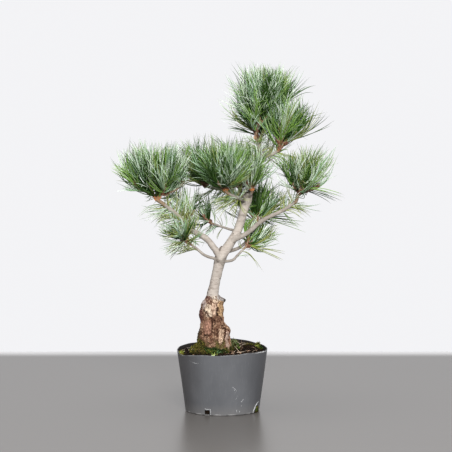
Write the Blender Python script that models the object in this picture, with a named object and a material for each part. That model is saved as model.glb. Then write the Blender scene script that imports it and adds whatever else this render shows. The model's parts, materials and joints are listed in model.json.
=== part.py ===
# Japanese white pine bonsai, 0.47 m tall, grafted on a rough old stock and standing in a round plastic pot.
# Units are metres. The origin is the centre of the pot's underside, +Z is up, and the tree's front faces -Y.
# Each limb is one tapering solid. Each mass of needles is one solid too: a stem that forks into shoots, with
# three-sided spindles standing out of them, and a spindle stands for a bundle of needles.
import math
import random
from collections import namedtuple

import bmesh
import bpy
from mathutils import Vector

# Clearance that keeps neighbouring solids apart.
GAP = 0.0003

# Pot: a soft plastic cone cut down by hand, so its rim isn't level.
POT_RIM_RADIUS = 0.0612
POT_FOOT_RADIUS = 0.050
POT_WALL = 0.0012
POT_FLOOR = 0.0020
POT_RIM_HEIGHT = 0.0825
POT_BACK_RISE = 0.0045
POT_CREST_RISE = 0.0030
POT_CREST_TURN_DEG = 70.0
POT_RIM_WAVE = 0.0005
TURNED_SEGMENTS = 40
FOOT_CHAMFER = 0.0015
POT_SLOPE = (POT_RIM_RADIUS - POT_FOOT_RADIUS) / POT_RIM_HEIGHT

# Drainage: four notches through the foot, and a ring of holes in the floor.
NOTCH_COUNT = 4
NOTCH_FIRST_DEG = -113.5
NOTCH_WIDTH = 0.0076
NOTCH_HEIGHT = 0.0070
NOTCH_DEPTH = 0.0040
DRAIN_COUNT = 5
DRAIN_RADIUS = 0.0040
DRAIN_RING_RADIUS = 0.030
DRAIN_SIDES = 8

# Soil: it fills the pot to just below the rim, level round the trunk and sunk a little at the wall.
GROUND = 0.0820
SOIL_TOP = GROUND - GAP
SOIL_SHOULDER_RADIUS = 0.0500
SOIL_EDGE_DROP = 0.0022
SOIL_WALL_GAP = 0.0006

# Moss cushions on the soil: angle round the pot in degrees, distance from its axis, width, height.
MOSS_CUSHIONS = {
    "moss_front": (-88.0, 0.0430, 0.0200, 0.0060),
    "moss_front_left": (-138.0, 0.0440, 0.0170, 0.0050),
    "moss_left": (176.0, 0.0465, 0.0150, 0.0045),
    "moss_right": (20.0, 0.0420, 0.0180, 0.0055),
    "moss_back": (78.0, 0.0400, 0.0200, 0.0065),
}
MOSS_RINGS = 2
MOSS_SIDES = 10

# Trunk stations from the ground to the tip: x, y, z, radius. The first seven are the rough old stock and the
# eighth is the graft. The tree was cut back at the knuckle at 0.29, above which a thin leader runs on.
TRUNK_STATIONS = (
    (-0.0105, 0.0000, GROUND, 0.0226),
    (-0.0108, 0.0000, 0.1010, 0.0228),
    (-0.0110, 0.0005, 0.1110, 0.0214),
    (-0.0128, 0.0010, 0.1180, 0.0174),
    (-0.0145, 0.0015, 0.1310, 0.0166),
    (-0.0130, 0.0025, 0.1430, 0.0152),
    (-0.0124, 0.0030, 0.1500, 0.0136),
    (-0.0130, 0.0030, 0.1560, 0.0092),
    (-0.0122, 0.0026, 0.1630, 0.0074),
    (-0.0074, 0.0000, 0.1860, 0.0069),
    (-0.0015, -0.0025, 0.2100, 0.0079),
    (0.0050, -0.0025, 0.2195, 0.0066),
    (0.0185, -0.0010, 0.2405, 0.0060),
    (0.0253, 0.0010, 0.2580, 0.0056),
    (0.0305, 0.0025, 0.2770, 0.0061),
    (0.0342, 0.0030, 0.2880, 0.0066),
    (0.0368, 0.0035, 0.2945, 0.0040),
    (0.0405, 0.0040, 0.3050, 0.0029),
    (0.0515, 0.0055, 0.3400, 0.0025),
    (0.0470, 0.0050, 0.3660, 0.0021),
)
TRUNK_SIDES = 12
TRUNK_STEP = 0.0068
STOCK_TOP = 0.1560
ROOT_FLARE = 0.13
BARK_LUMPS = 0.06

# Stump of the stock's own leader, cut off beside the graft.
STUMP_FROM = (-0.0070, 0.0000, 0.1420)
STUMP_TO = (-0.0010, -0.0010, 0.1530)
STUMP_RADIUS = 0.0061

# Limbs: the height at which each leaves its parent's centre line, the points that it runs through from
# there to its tip, and its radii at both ends.
Limb = namedtuple("Limb", "parent leaves_at through first_radius last_radius")
LIMBS = {
    "left_bough": Limb("trunk", 0.2090, ((-0.0200, -0.0045, 0.2325), (-0.0420, -0.0065, 0.2465),
                                         (-0.0610, -0.0070, 0.2665), (-0.0780, -0.0070, 0.2800)),
                       0.0048, 0.0026),
    "left_low_branch": Limb("trunk", 0.2050, ((-0.0220, -0.0070, 0.2110), (-0.0370, -0.0115, 0.2232),
                                              (-0.0425, -0.0125, 0.2270)), 0.0022, 0.0017),
    "right_bough": Limb("trunk", 0.2300, ((0.0330, -0.0080, 0.2415), (0.0540, -0.0110, 0.2590),
                                          (0.0820, -0.0100, 0.2730), (0.0975, -0.0090, 0.2835)),
                        0.0036, 0.0023),
    "right_low_branch": Limb("trunk", 0.2035, ((0.0130, -0.0040, 0.2045), (0.0205, -0.0020, 0.2115),
                                               (0.0300, 0.0000, 0.2210)), 0.0020, 0.0016),
    "rear_right_branch": Limb("trunk", 0.2150, ((0.0240, 0.0165, 0.2210), (0.0400, 0.0290, 0.2370),
                                                (0.0470, 0.0340, 0.2500)), 0.0026, 0.0019),
    "left_side_twig": Limb("left_bough", 0.2500, ((-0.0490, 0.0010, 0.2550), (-0.0480, 0.0060, 0.2620)),
                           0.0018, 0.0015),
    "inner_twig": Limb("trunk", 0.2430, ((0.0060, 0.0120, 0.2470), (-0.0130, 0.0180, 0.2530)),
                       0.0019, 0.0015),
    "rear_bough": Limb("trunk", 0.2640, ((0.0290, 0.0200, 0.2710), (0.0265, 0.0450, 0.2880)),
                       0.0029, 0.0021),
    "middle_bough": Limb("trunk", 0.2850, ((0.0200, -0.0190, 0.2900), (0.0080, -0.0290, 0.2965)),
                         0.0029, 0.0022),
    "heart_twig": Limb("trunk", 0.2880, ((0.0378, -0.0080, 0.2930), (0.0400, -0.0130, 0.2980)),
                       0.0022, 0.0019),
    "rear_left_bough": Limb("trunk", 0.2880, ((0.0130, 0.0200, 0.2960), (-0.0170, 0.0350, 0.3020)),
                            0.0029, 0.0020),
    "crown_right_twig": Limb("trunk", 0.3440, ((0.0640, 0.0030, 0.3463), (0.0760, 0.0000, 0.3525)),
                             0.0022, 0.0018),
    "apex_twig": Limb("trunk", 0.3500, ((0.0610, 0.0130, 0.3610), (0.0680, 0.0170, 0.3880)),
                      0.0019, 0.0015),
    "crown_rear_twig": Limb("trunk", 0.3560, ((0.0510, 0.0150, 0.3590), (0.0510, 0.0260, 0.3640)),
                            0.0019, 0.0016),
}
LIMB_SIDES = 6
LIMB_STEP = 0.0095

# Masses of needles: the limb that each grows on from, the hub where its stem forks, the middle of its
# shoots' tips, how far they spread in x and y, how far the outer ones sink, their number, how full of
# needles they are, how strongly these turn up, the mass's claim on the space round it, its rule's seed, how
# strongly the needles of its outer shoots lean out, and the share of their full length that they reach.
Mass = namedtuple("Mass", "limb hub tips spread sink shoots fill lift claim seed lean length",
                  defaults=(0.0, 1.0))
MASSES = {
    "left_pad": Mass("left_bough", (-0.0885, -0.0100, 0.2875),
                     (-0.0865, -0.0080, 0.3155), (0.037, 0.029), 0.005, 11, 0.90, 1.15, 0.060, 1,
                     lean=0.55),
    "left_low_tuft": Mass("left_low_branch", (-0.0460, -0.0130, 0.2310),
                          (-0.0540, -0.0160, 0.2400), (0.009, 0.009), 0.005, 4, 0.45, 0.35, 0.036, 2,
                          length=0.65),
    "left_side_tuft": Mass("left_side_twig", (-0.0475, 0.0080, 0.2655),
                           (-0.0485, 0.0120, 0.2740), (0.008, 0.008), 0.004, 3, 0.40, 0.60, 0.036, 3,
                           length=0.80),
    "inner_tuft": Mass("inner_twig", (-0.0160, 0.0190, 0.2560),
                       (-0.0195, 0.0200, 0.2640), (0.006, 0.006), 0.003, 2, 0.60, 0.10, 0.034, 4,
                       length=0.80),
    "middle_pad": Mass("middle_bough", (0.0035, -0.0320, 0.3010),
                       (0.0050, -0.0340, 0.3175), (0.020, 0.021), 0.007, 9, 0.80, 1.25, 0.056, 5),
    "heart_pad": Mass("heart_twig", (0.0405, -0.0160, 0.3020),
                      (0.0370, -0.0200, 0.3150), (0.008, 0.011), 0.006, 4, 0.60, 1.30, 0.042, 6),
    "right_pad": Mass("right_bough", (0.1020, -0.0090, 0.2945),
                      (0.1090, -0.0080, 0.3160), (0.019, 0.022), 0.009, 8, 0.42, 0.75, 0.056, 7),
    "right_low_tuft": Mass("right_low_branch", (0.0330, 0.0010, 0.2245),
                           (0.0420, 0.0060, 0.2350), (0.010, 0.010), 0.004, 4, 0.40, 0.50, 0.038, 8,
                           length=0.75),
    "rear_right_tuft": Mass("rear_right_branch", (0.0470, 0.0360, 0.2550),
                            (0.0480, 0.0430, 0.2720), (0.011, 0.015), 0.008, 5, 0.70, 0.80, 0.044, 9),
    "rear_left_pad": Mass("rear_left_bough", (-0.0220, 0.0370, 0.3050),
                          (-0.0270, 0.0440, 0.3145), (0.013, 0.018), 0.005, 5, 0.50, 1.10, 0.050, 10),
    "rear_pad": Mass("rear_bough", (0.0250, 0.0500, 0.2950),
                     (0.0220, 0.0610, 0.3300), (0.014, 0.016), 0.010, 5, 0.40, 1.00, 0.048, 11),
    "crown_left": Mass("trunk", (0.0445, 0.0040, 0.3700),
                       (0.0520, 0.0010, 0.4240), (0.015, 0.018), 0.012, 10, 0.85, 1.10, 0.060, 12),
    "crown_right": Mass("crown_right_twig", (0.0765, -0.0020, 0.3550),
                        (0.0830, -0.0050, 0.3860), (0.016, 0.019), 0.012, 8, 0.60, 1.10, 0.054, 13),
    "crown_rear": Mass("crown_rear_twig", (0.0510, 0.0300, 0.3680),
                       (0.0510, 0.0430, 0.3960), (0.016, 0.014), 0.012, 5, 0.60, 1.00, 0.048, 14),
    "apex_tuft": Mass("apex_twig", (0.0685, 0.0175, 0.3930),
                      (0.0720, 0.0170, 0.4200), (0.011, 0.013), 0.006, 6, 0.60, 1.10, 0.048, 15),
}
SHOOT_RADIUS = 0.0017
SHOOT_TIP_RADIUS = 0.0012
SHOOT_SIDES = 3
SHOOT_PIECES = 2
BUD_LENGTH = 0.004
FIRST_FORKS = 3
FORK_SHARE = 0.35
UPTURN = 0.50
TIP_JITTER = 0.002

# Bundles of needles on a shoot: spread wide where the shoot is old and close together at its tip.
BUNDLES_A_SHOOT = 13
FEWEST_BUNDLES = 8
BUNDLE_LENGTH = 0.050
BUNDLE_LENGTH_SPREAD = 0.08
BUNDLE_LEAST_SHARE = 0.60
BUNDLE_WIDTH = 0.0046
BUNDLE_THICKNESS = 0.0018
BUNDLE_ROOT_RADIUS = 0.0004
BUNDLE_WIDEST = 0.60
BUNDLE_SAG = 0.03
BUNDLES_FROM = 0.12
BUNDLE_TURNS = 9
OLD_SPLAY_DEG = 78.0
YOUNG_SPLAY_DEG = 14.0
SPLAY_AGEING = 1.3
CLEARANCE = 0.0040
BUNDLE_SPACING = 0.0027
FREE_FROM = 0.06
GOLDEN_ANGLE = math.pi * (3.0 - math.sqrt(5.0))
UP = Vector((0.0, 0.0, 1.0))

# Finishes: base colour, roughness.
FINISHES = {
    "pot_plastic": ((0.115, 0.120, 0.130, 1.0), 0.45),
    "soil": ((0.055, 0.035, 0.024, 1.0), 0.95),
    "moss": ((0.130, 0.160, 0.030, 1.0), 0.95),
    "bark": ((0.430, 0.360, 0.300, 1.0), 0.85),
    "needles": ((0.150, 0.270, 0.130, 1.0), 0.50),
}


def clear_scene():
    for obj in list(bpy.data.objects):
        bpy.data.objects.remove(obj)


def make_finishes():
    finishes = {}
    for name, (colour, roughness) in FINISHES.items():
        material = bpy.data.materials.new(name)
        material.use_nodes = True
        shader = material.node_tree.nodes["Principled BSDF"]
        shader.inputs["Base Color"].default_value = colour
        shader.inputs["Roughness"].default_value = roughness
        shader.inputs["Metallic"].default_value = 0.0
        finishes[name] = material
    return finishes


def add_object(name, bm, finish, collection=None):
    """Makes an object of a bmesh, which it frees."""
    bmesh.ops.recalc_face_normals(bm, faces=bm.faces)
    mesh = bpy.data.meshes.new(name)
    bm.to_mesh(mesh)
    bm.free()
    mesh.materials.append(finish)
    obj = bpy.data.objects.new(name, mesh)
    (collection or bpy.context.scene.collection).objects.link(obj)
    return obj


def smooth(obj, degrees=40.0):
    obj.data.shade_smooth()
    obj.data.set_sharp_from_angle(angle=math.radians(degrees))


def boolean(obj, operation, others, solver="EXACT"):
    """Joins other objects to this one or cuts them from it, and removes them."""
    helpers = bpy.data.collections.new("helpers")
    for other in others:
        helpers.objects.link(other)
    modifier = obj.modifiers.new(operation.lower(), "BOOLEAN")
    modifier.operation = operation
    modifier.solver = solver
    modifier.operand_type = "COLLECTION"
    modifier.collection = helpers
    graph = bpy.context.evaluated_depsgraph_get()
    mesh = bpy.data.meshes.new_from_object(obj.evaluated_get(graph))
    obj.modifiers.clear()
    obj.data = mesh
    for other in list(helpers.objects):
        bpy.data.objects.remove(other)
    bpy.data.collections.remove(helpers)


def keep_largest_shell(obj):
    """Fills the hollows that joining sealed, and drops loose scraps."""
    bm = bmesh.new()
    bm.from_mesh(obj.data)
    unseen, shells = set(bm.verts), []
    while unseen:
        shell, edge = set(), [unseen.pop()]
        while edge:
            vert = edge.pop()
            shell.add(vert)
            near = {e.other_vert(vert) for e in vert.link_edges} & unseen
            unseen -= near
            edge.extend(near)
        shells.append(shell)
    largest = max(shells, key=len)
    bmesh.ops.delete(bm, geom=[v for v in bm.verts if v not in largest], context="VERTS")
    bm.to_mesh(obj.data)
    bm.free()


def curve_through(points, step):
    """Even stations on a smooth curve through points, whose first three numbers are x, y and z."""
    ends = [2 * points[0] - points[1]] + list(points) + [2 * points[-1] - points[-2]]
    dense = []
    for before, start, end, after in zip(ends, ends[1:], ends[2:], ends[3:]):
        for share in (i / 12 for i in range(12)):
            dense.append(0.5 * (2 * start + (end - before) * share
                                + (2 * before - 5 * start + 4 * end - after) * share ** 2
                                + (3 * start - before - 3 * end + after) * share ** 3))
    dense.append(points[-1])
    lengths = [0.0]
    for start, end in zip(dense, dense[1:]):
        lengths.append(lengths[-1] + (Vector(end[:3]) - Vector(start[:3])).length)
    count = max(2, round(lengths[-1] / step))
    stations, at = [], 0
    for i in range(count + 1):
        goal = lengths[-1] * i / count
        while at < len(lengths) - 2 and lengths[at + 1] < goal:
            at += 1
        share = (goal - lengths[at]) / (lengths[at + 1] - lengths[at])
        stations.append(dense[at].lerp(dense[at + 1], min(share, 1.0)))
    return stations


def limb_line(name):
    """Centres and radii along the trunk or a limb."""
    if name == "trunk":
        stations = curve_through([Vector(station) for station in TRUNK_STATIONS], TRUNK_STEP)
        return [Vector(station[:3]) for station in stations], [station[3] for station in stations]
    limb = LIMBS[name]
    parent_centres, _ = limb_line(limb.parent)
    start = min(parent_centres, key=lambda centre: abs(centre.z - limb.leaves_at)).copy()
    start.z = limb.leaves_at
    centres = curve_through([start] + [Vector(point) for point in limb.through], LIMB_STEP)
    shares = [i / (len(centres) - 1) for i in range(len(centres))]
    return centres, [limb.first_radius + (limb.last_radius - limb.first_radius) * share for share in shares]


def rings_along(centres, radii, sides, swell=None):
    """Rings square to a line, with no twist. swell gives the share that a ring grows by, at an angle and a
    height."""
    rings, side = [], Vector((1.0, 0.0, 0.0))
    for i, (centre, radius) in enumerate(zip(centres, radii)):
        ahead = (centres[min(i + 1, len(centres) - 1)] - centres[max(i - 1, 0)]).normalized()
        if abs(side.dot(ahead)) > 0.9:
            side = Vector((0.0, 1.0, 0.0))
        side = (side - ahead * side.dot(ahead)).normalized()
        across = ahead.cross(side)
        ring = []
        for k in range(sides):
            angle = 2 * math.pi * k / sides
            reach = radius * (1.0 + (swell(angle, centre.z) if swell else 0.0))
            ring.append(centre + (side * math.cos(angle) + across * math.sin(angle)) * reach)
        rings.append(ring)
    return rings


def loft(rings):
    """A closed tube through rings of points. A ring of one point is a tip."""
    bm = bmesh.new()
    loops = [[bm.verts.new(point) for point in ring] for ring in rings]
    for lower, upper in zip(loops, loops[1:]):
        for i in range(len(lower)):
            after = (i + 1) % len(lower)
            if len(upper) == 1:
                bm.faces.new((lower[i], lower[after], upper[0]))
            else:
                bm.faces.new((lower[i], lower[after], upper[after], upper[i]))
    bm.faces.new(reversed(loops[0]))
    if len(loops[-1]) > 1:
        bm.faces.new(loops[-1])
    return bm


def stock_swell(angle, height):
    """Root flare at the ground and the blocks of old bark, both gone at the graft."""
    share = min(1.0, max(0.0, (STOCK_TOP - height) / (STOCK_TOP - GROUND)))
    flare = ROOT_FLARE * share ** 3 * (0.55 * math.cos(3 * angle + 0.6) + 0.45 * math.cos(5 * angle + 2.1))
    blocks = BARK_LUMPS * min(1.0, 4 * share) * math.sin(4 * angle + 90 * height)
    return flare + blocks * math.cos(3 * angle - 330 * height)


def make_trunk(finish):
    centres, radii = limb_line("trunk")
    rings = rings_along(centres, radii, TRUNK_SIDES, stock_swell)
    rings[0] = [Vector((point.x, point.y, GROUND)) for point in rings[0]]
    trunk = add_object("trunk", loft(rings), finish)
    stump_line = [Vector(STUMP_FROM), Vector(STUMP_TO)]
    stump = add_object("stump", loft(rings_along(stump_line, [STUMP_RADIUS] * 2, LIMB_SIDES)), finish)
    boolean(trunk, "UNION", [stump])
    smooth(trunk)


def make_limb(name, finish):
    """A bough or twig, cut back to stand just clear of the limb that it grows from."""
    centres, radii = limb_line(name)
    limb = add_object(name, loft(rings_along(centres, radii, LIMB_SIDES)), finish)
    parent = LIMBS[name].parent
    sides = TRUNK_SIDES if parent == "trunk" else LIMB_SIDES
    parent_centres, parent_radii = limb_line(parent)
    clear_radii = [radius + GAP / math.cos(math.pi / sides) for radius in parent_radii]
    room = add_object("room", loft(rings_along(parent_centres, clear_radii, sides)), finish)
    boolean(limb, "DIFFERENCE", [room])
    smooth(limb)


def limb_samples():
    """Points and radii that stand for every limb, for the test that a bundle clears them."""
    samples = []
    for name in ["trunk", *LIMBS]:
        centres, radii = limb_line(name)
        for i in range(len(centres) - 1):
            for share in (0.0, 1 / 3, 2 / 3):
                samples.append((centres[i].lerp(centres[i + 1], share), radii[i]))
        samples.append((centres[-1], radii[-1]))
    return samples


def distance_apart(start, end, other_start, other_end):
    """Least distance between two straight stretches."""
    along, other_along, offset = end - start, other_end - other_start, start - other_start
    across = along.dot(other_along)
    slant = along.length_squared * other_along.length_squared - across ** 2
    share = 0.0
    if slant > 1e-12:
        share = (across * other_along.dot(offset) - other_along.length_squared * along.dot(offset)) / slant
    share = min(1.0, max(0.0, share))
    other_share = min(1.0, max(0.0, (share * across + other_along.dot(offset)) / other_along.length_squared))
    share = min(1.0, max(0.0, (other_share * across - along.dot(offset)) / along.length_squared))
    return (offset + along * share - other_along * other_share).length


def clears_limbs(start, end, samples):
    along = end - start
    for centre, radius in samples:
        share = min(1.0, max(0.0, (centre - start).dot(along) / along.length_squared))
        if (start + along * share - centre).length < radius + CLEARANCE:
            return False
    return True


def room_ahead(name, start, direction):
    """How far a straight line runs inside the mass's own space, whose flat walls stand between it and each
    other mass, nearer to the one that claims less."""
    own = Vector(MASSES[name].tips)
    room = 1.0
    for other, mass in MASSES.items():
        if other == name:
            continue
        away = Vector(mass.tips) - own
        wall = away.length * MASSES[name].claim / (MASSES[name].claim + mass.claim) - CLEARANCE
        away.normalize()
        left = wall - (start - own).dot(away)
        if left < 0.0:
            return 0.0
        if direction.dot(away) > 1e-6:
            room = min(room, left / direction.dot(away))
    return room


def shoot_lines(name):
    """Three points for each shoot: its root, the point that it bends towards, and its tip. The tips spread
    evenly over a dish, the first shoots fork at the hub, and the rest fork from the nearest of those."""
    mass = MASSES[name]
    chance = random.Random(mass.seed)
    hub = Vector(mass.hub)
    turn = chance.uniform(0.0, 2 * math.pi)
    lines = []
    for i in range(mass.shoots):
        out = math.sqrt((i + 0.5) / mass.shoots)
        angle = turn + i * GOLDEN_ANGLE
        away = Vector((mass.spread[0] * out * math.cos(angle), mass.spread[1] * out * math.sin(angle), 0.0))
        jitter = Vector(chance.uniform(-1.0, 1.0) for _ in range(3)) * TIP_JITTER
        tip = Vector(mass.tips) + away - UP * mass.sink * out * out + jitter
        root = hub
        if i >= FIRST_FORKS:
            near = min(lines[:FIRST_FORKS], key=lambda line: (line[2] - tip).length)
            root = on_core(core_of(near), FORK_SHARE)
        heading = (UP + (tip - hub).normalized()).normalized()
        lines.append((root, tip - heading * (tip - root).length * UPTURN, tip))
    return lines


def point_on(line, share):
    """A point on the curve that a shoot follows."""
    return line[0].lerp(line[1], share).lerp(line[1].lerp(line[2], share), share)


def core_of(line):
    """The curve as the straight pieces of the shoot's core."""
    return [point_on(line, i / SHOOT_PIECES) for i in range(SHOOT_PIECES + 1)]


def on_core(core, share):
    piece = min(int(share * SHOOT_PIECES), SHOOT_PIECES - 1)
    return core[piece].lerp(core[piece + 1], share * SHOOT_PIECES - piece)


def bundle_places(line, mass, chance):
    """For each bundle on a shoot, its root, full length and the directions that it may take, best first."""
    turn = chance.uniform(0.0, 2 * math.pi)
    away = line[2] - Vector(mass.tips)
    lean = Vector((away.x / mass.spread[0], away.y / mass.spread[1], 0.0)) * mass.lean
    count = max(FEWEST_BUNDLES, round(BUNDLES_A_SHOOT * mass.fill))
    for i in range(count):
        age = 1.0 - (i + 0.5) / count
        share = 1.0 - (1.0 - BUNDLES_FROM) * age
        root = on_core(core_of(line), share)
        ahead = (point_on(line, share) - point_on(line, share - 0.05)).normalized()
        side = ahead.orthogonal().normalized()
        splay = math.radians(YOUNG_SPLAY_DEG + (OLD_SPLAY_DEG - YOUNG_SPLAY_DEG) * age ** SPLAY_AGEING)
        length = BUNDLE_LENGTH * mass.length * (1.0 + BUNDLE_LENGTH_SPREAD * chance.uniform(-1.0, 1.0))
        directions = []
        for k in range(BUNDLE_TURNS):
            angle = turn + (i + k * count) * GOLDEN_ANGLE
            out = side * math.cos(angle) + ahead.cross(side) * math.sin(angle) + UP * mass.lift
            directions.append((ahead * math.cos(splay) + out * math.sin(splay) + lean).normalized())
        yield root, length, directions


def bundle(root, direction, length):
    """A three-sided spindle, flat and widest past its middle, where it sags a little."""
    side = direction.cross(UP).normalized() if abs(direction.z) < 0.99 else Vector((1.0, 0.0, 0.0))
    across = side.cross(direction)
    foot = [root + (side * math.cos(angle) + across * math.sin(angle)) * BUNDLE_ROOT_RADIUS
            for angle in (math.radians(turn) for turn in (0, 120, 240))]
    middle = root + direction * length * BUNDLE_WIDEST - across * length * BUNDLE_SAG
    edge = side * BUNDLE_WIDTH / 2
    widest = [middle + edge, middle + across * BUNDLE_THICKNESS, middle - edge]
    return loft([foot, widest, [root + direction * length]])


def make_mass(name, samples, finish):
    """Stem, shoots and bundles, joined by one union. A shoot that leaves the mass's space or touches a limb
    is skipped. A bundle takes the first direction in which it clears the limbs and the other bundles and
    fits the space, cut short at its wall if need be, and is skipped where there is none."""
    mass = MASSES[name]
    centres, radii = limb_line(mass.limb)
    ahead = (centres[-1] - centres[-2]).normalized()
    foot, hub = centres[-1] + ahead * GAP, Vector(mass.hub)
    stem_line = [foot, foot + ahead * radii[-1], hub]
    stem = add_object(name, loft(rings_along(stem_line, [radii[-1]] * 3, SHOOT_SIDES + 2)), finish)
    chance = random.Random(mass.seed)
    pieces, taken = [], []
    for line in shoot_lines(name):
        if room_ahead(name, line[2], UP) == 0.0 or not clears_limbs(line[1], line[2], samples):
            print(name, "skips a shoot")
            continue
        core = core_of(line)
        radii = [SHOOT_RADIUS + (SHOOT_TIP_RADIUS - SHOOT_RADIUS) * i / SHOOT_PIECES for i in range(len(core))]
        bud = core[-1] + (core[-1] - core[-2]).normalized() * BUD_LENGTH
        pieces.append(add_object("shoot", loft(rings_along(core, radii, SHOOT_SIDES) + [[bud]]), finish))
        for root, length, directions in bundle_places(line, mass, chance):
            for direction in directions:
                fits = min(length, room_ahead(name, root, direction))
                tip = root + direction * fits
                free = (root + direction * length * FREE_FROM, tip)
                if (fits > length * BUNDLE_LEAST_SHARE and clears_limbs(root, tip, samples)
                        and all(distance_apart(*free, *other) > BUNDLE_SPACING for other in taken)):
                    taken.append(free)
                    pieces.append(add_object("bundle", bundle(root, direction, fits), finish))
                    break
    boolean(stem, "UNION", pieces, "MANIFOLD")
    keep_largest_shell(stem)
    print(name, len(pieces), "pieces", sum(len(p.vertices) - 2 for p in stem.data.polygons), "triangles")


def rim_height(angle):
    """Height of the hand-cut rim at an angle round the pot: highest at the back."""
    back = 0.5 + 0.5 * math.sin(angle)
    crest = 0.5 + 0.5 * math.cos(angle - math.radians(POT_CREST_TURN_DEG))
    rise = POT_BACK_RISE * back ** 2 + POT_CREST_RISE * crest ** 8
    return POT_RIM_HEIGHT + rise + POT_RIM_WAVE * math.sin(5 * angle + 0.8)


def turned(profile):
    """A solid turned round the Z axis from radii and heights that start and end on it."""
    bm = bmesh.new()
    verts = [bm.verts.new((radius, 0.0, height)) for radius, height in profile]
    edges = [bm.edges.new(pair) for pair in zip(verts, verts[1:])]
    bmesh.ops.spin(bm, geom=verts + edges, cent=(0.0, 0.0, 0.0), axis=(0.0, 0.0, 1.0), angle=2 * math.pi,
                   steps=TURNED_SEGMENTS)
    bmesh.ops.remove_doubles(bm, verts=bm.verts, dist=1e-6)
    return bm


def make_pot(finish):
    """A turned shell, with its rim moved to the cut line and its drainage cut out."""
    bm = turned((
        (0.0, 0.0),
        (POT_FOOT_RADIUS - FOOT_CHAMFER, 0.0),
        (POT_FOOT_RADIUS + POT_SLOPE * FOOT_CHAMFER, FOOT_CHAMFER),
        (POT_RIM_RADIUS, POT_RIM_HEIGHT),
        (POT_RIM_RADIUS - POT_WALL, POT_RIM_HEIGHT),
        (POT_FOOT_RADIUS + POT_SLOPE * POT_FLOOR - POT_WALL, POT_FLOOR),
        (0.0, POT_FLOOR),
    ))
    for vert in bm.verts:
        if vert.co.z > POT_RIM_HEIGHT / 2:
            rise = rim_height(math.atan2(vert.co.y, vert.co.x)) - POT_RIM_HEIGHT
            vert.co += Vector((vert.co.x, vert.co.y, 0.0)).normalized() * POT_SLOPE * rise + UP * rise
    pot = add_object("pot", bm, finish)
    cutters = []
    for i in range(NOTCH_COUNT):
        angle = math.radians(NOTCH_FIRST_DEG) + 2 * math.pi * i / NOTCH_COUNT
        bm = bmesh.new()
        bmesh.ops.create_cube(bm, size=1.0)
        bmesh.ops.scale(bm, vec=(2 * NOTCH_DEPTH, NOTCH_WIDTH, 2 * NOTCH_HEIGHT), verts=bm.verts)
        notch = add_object("notch", bm, finish)
        notch.location = (POT_FOOT_RADIUS * math.cos(angle), POT_FOOT_RADIUS * math.sin(angle), 0.0)
        notch.rotation_euler.z = angle
        cutters.append(notch)
    for i in range(DRAIN_COUNT):
        angle = 2 * math.pi * i / DRAIN_COUNT
        bm = bmesh.new()
        bmesh.ops.create_cone(bm, cap_ends=True, segments=DRAIN_SIDES, radius1=DRAIN_RADIUS,
                              radius2=DRAIN_RADIUS, depth=4 * POT_FLOOR)
        drain = add_object("drain", bm, finish)
        drain.location = (DRAIN_RING_RADIUS * math.cos(angle), DRAIN_RING_RADIUS * math.sin(angle), 0.0)
        cutters.append(drain)
    boolean(pot, "DIFFERENCE", cutters)
    smooth(pot, 30.0)


def make_soil(finish):
    edge_height = SOIL_TOP - SOIL_EDGE_DROP
    wall = POT_FOOT_RADIUS - POT_WALL - SOIL_WALL_GAP
    soil = add_object("soil", turned((
        (0.0, POT_FLOOR + GAP),
        (wall + POT_SLOPE * POT_FLOOR, POT_FLOOR + GAP),
        (wall + POT_SLOPE * edge_height, edge_height),
        (SOIL_SHOULDER_RADIUS, SOIL_TOP),
        (0.0, SOIL_TOP),
    )), finish)
    smooth(soil)


def make_moss(name, finish):
    """A low dome on the level soil."""
    angle_deg, away, width, height = MOSS_CUSHIONS[name]
    angle = math.radians(angle_deg)
    centre = Vector((away * math.cos(angle), away * math.sin(angle), GROUND))
    rings = []
    for i in range(MOSS_RINGS + 1):
        lift = i / (MOSS_RINGS + 0.6)
        radius = width / 2 * math.sqrt(1.0 - lift * lift)
        turns = [2 * math.pi * k / MOSS_SIDES for k in range(MOSS_SIDES)]
        rings.append([centre + Vector((radius * math.cos(t), radius * math.sin(t), height * lift))
                      for t in turns])
    cushion = add_object(name, loft(rings + [[centre + UP * height]]), finish)
    smooth(cushion, 60.0)


def main():
    clear_scene()
    finishes = make_finishes()
    make_pot(finishes["pot_plastic"])
    make_soil(finishes["soil"])
    for name in MOSS_CUSHIONS:
        make_moss(name, finishes["moss"])
    make_trunk(finishes["bark"])
    for name in LIMBS:
        make_limb(name, finishes["bark"])
    samples = limb_samples()
    for name in MASSES:
        make_mass(name, samples, finishes["needles"])


main()
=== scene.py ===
# Japanese white pine bonsai in a round plastic pot: its looks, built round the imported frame.
# Units are metres, +Z is up, the tree's front faces -Y, and the origin is the centre of the pot's underside.
import json
import math
import random
from collections import namedtuple

import bmesh
import bpy
import numpy as np
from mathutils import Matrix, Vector, kdtree, noise

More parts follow.
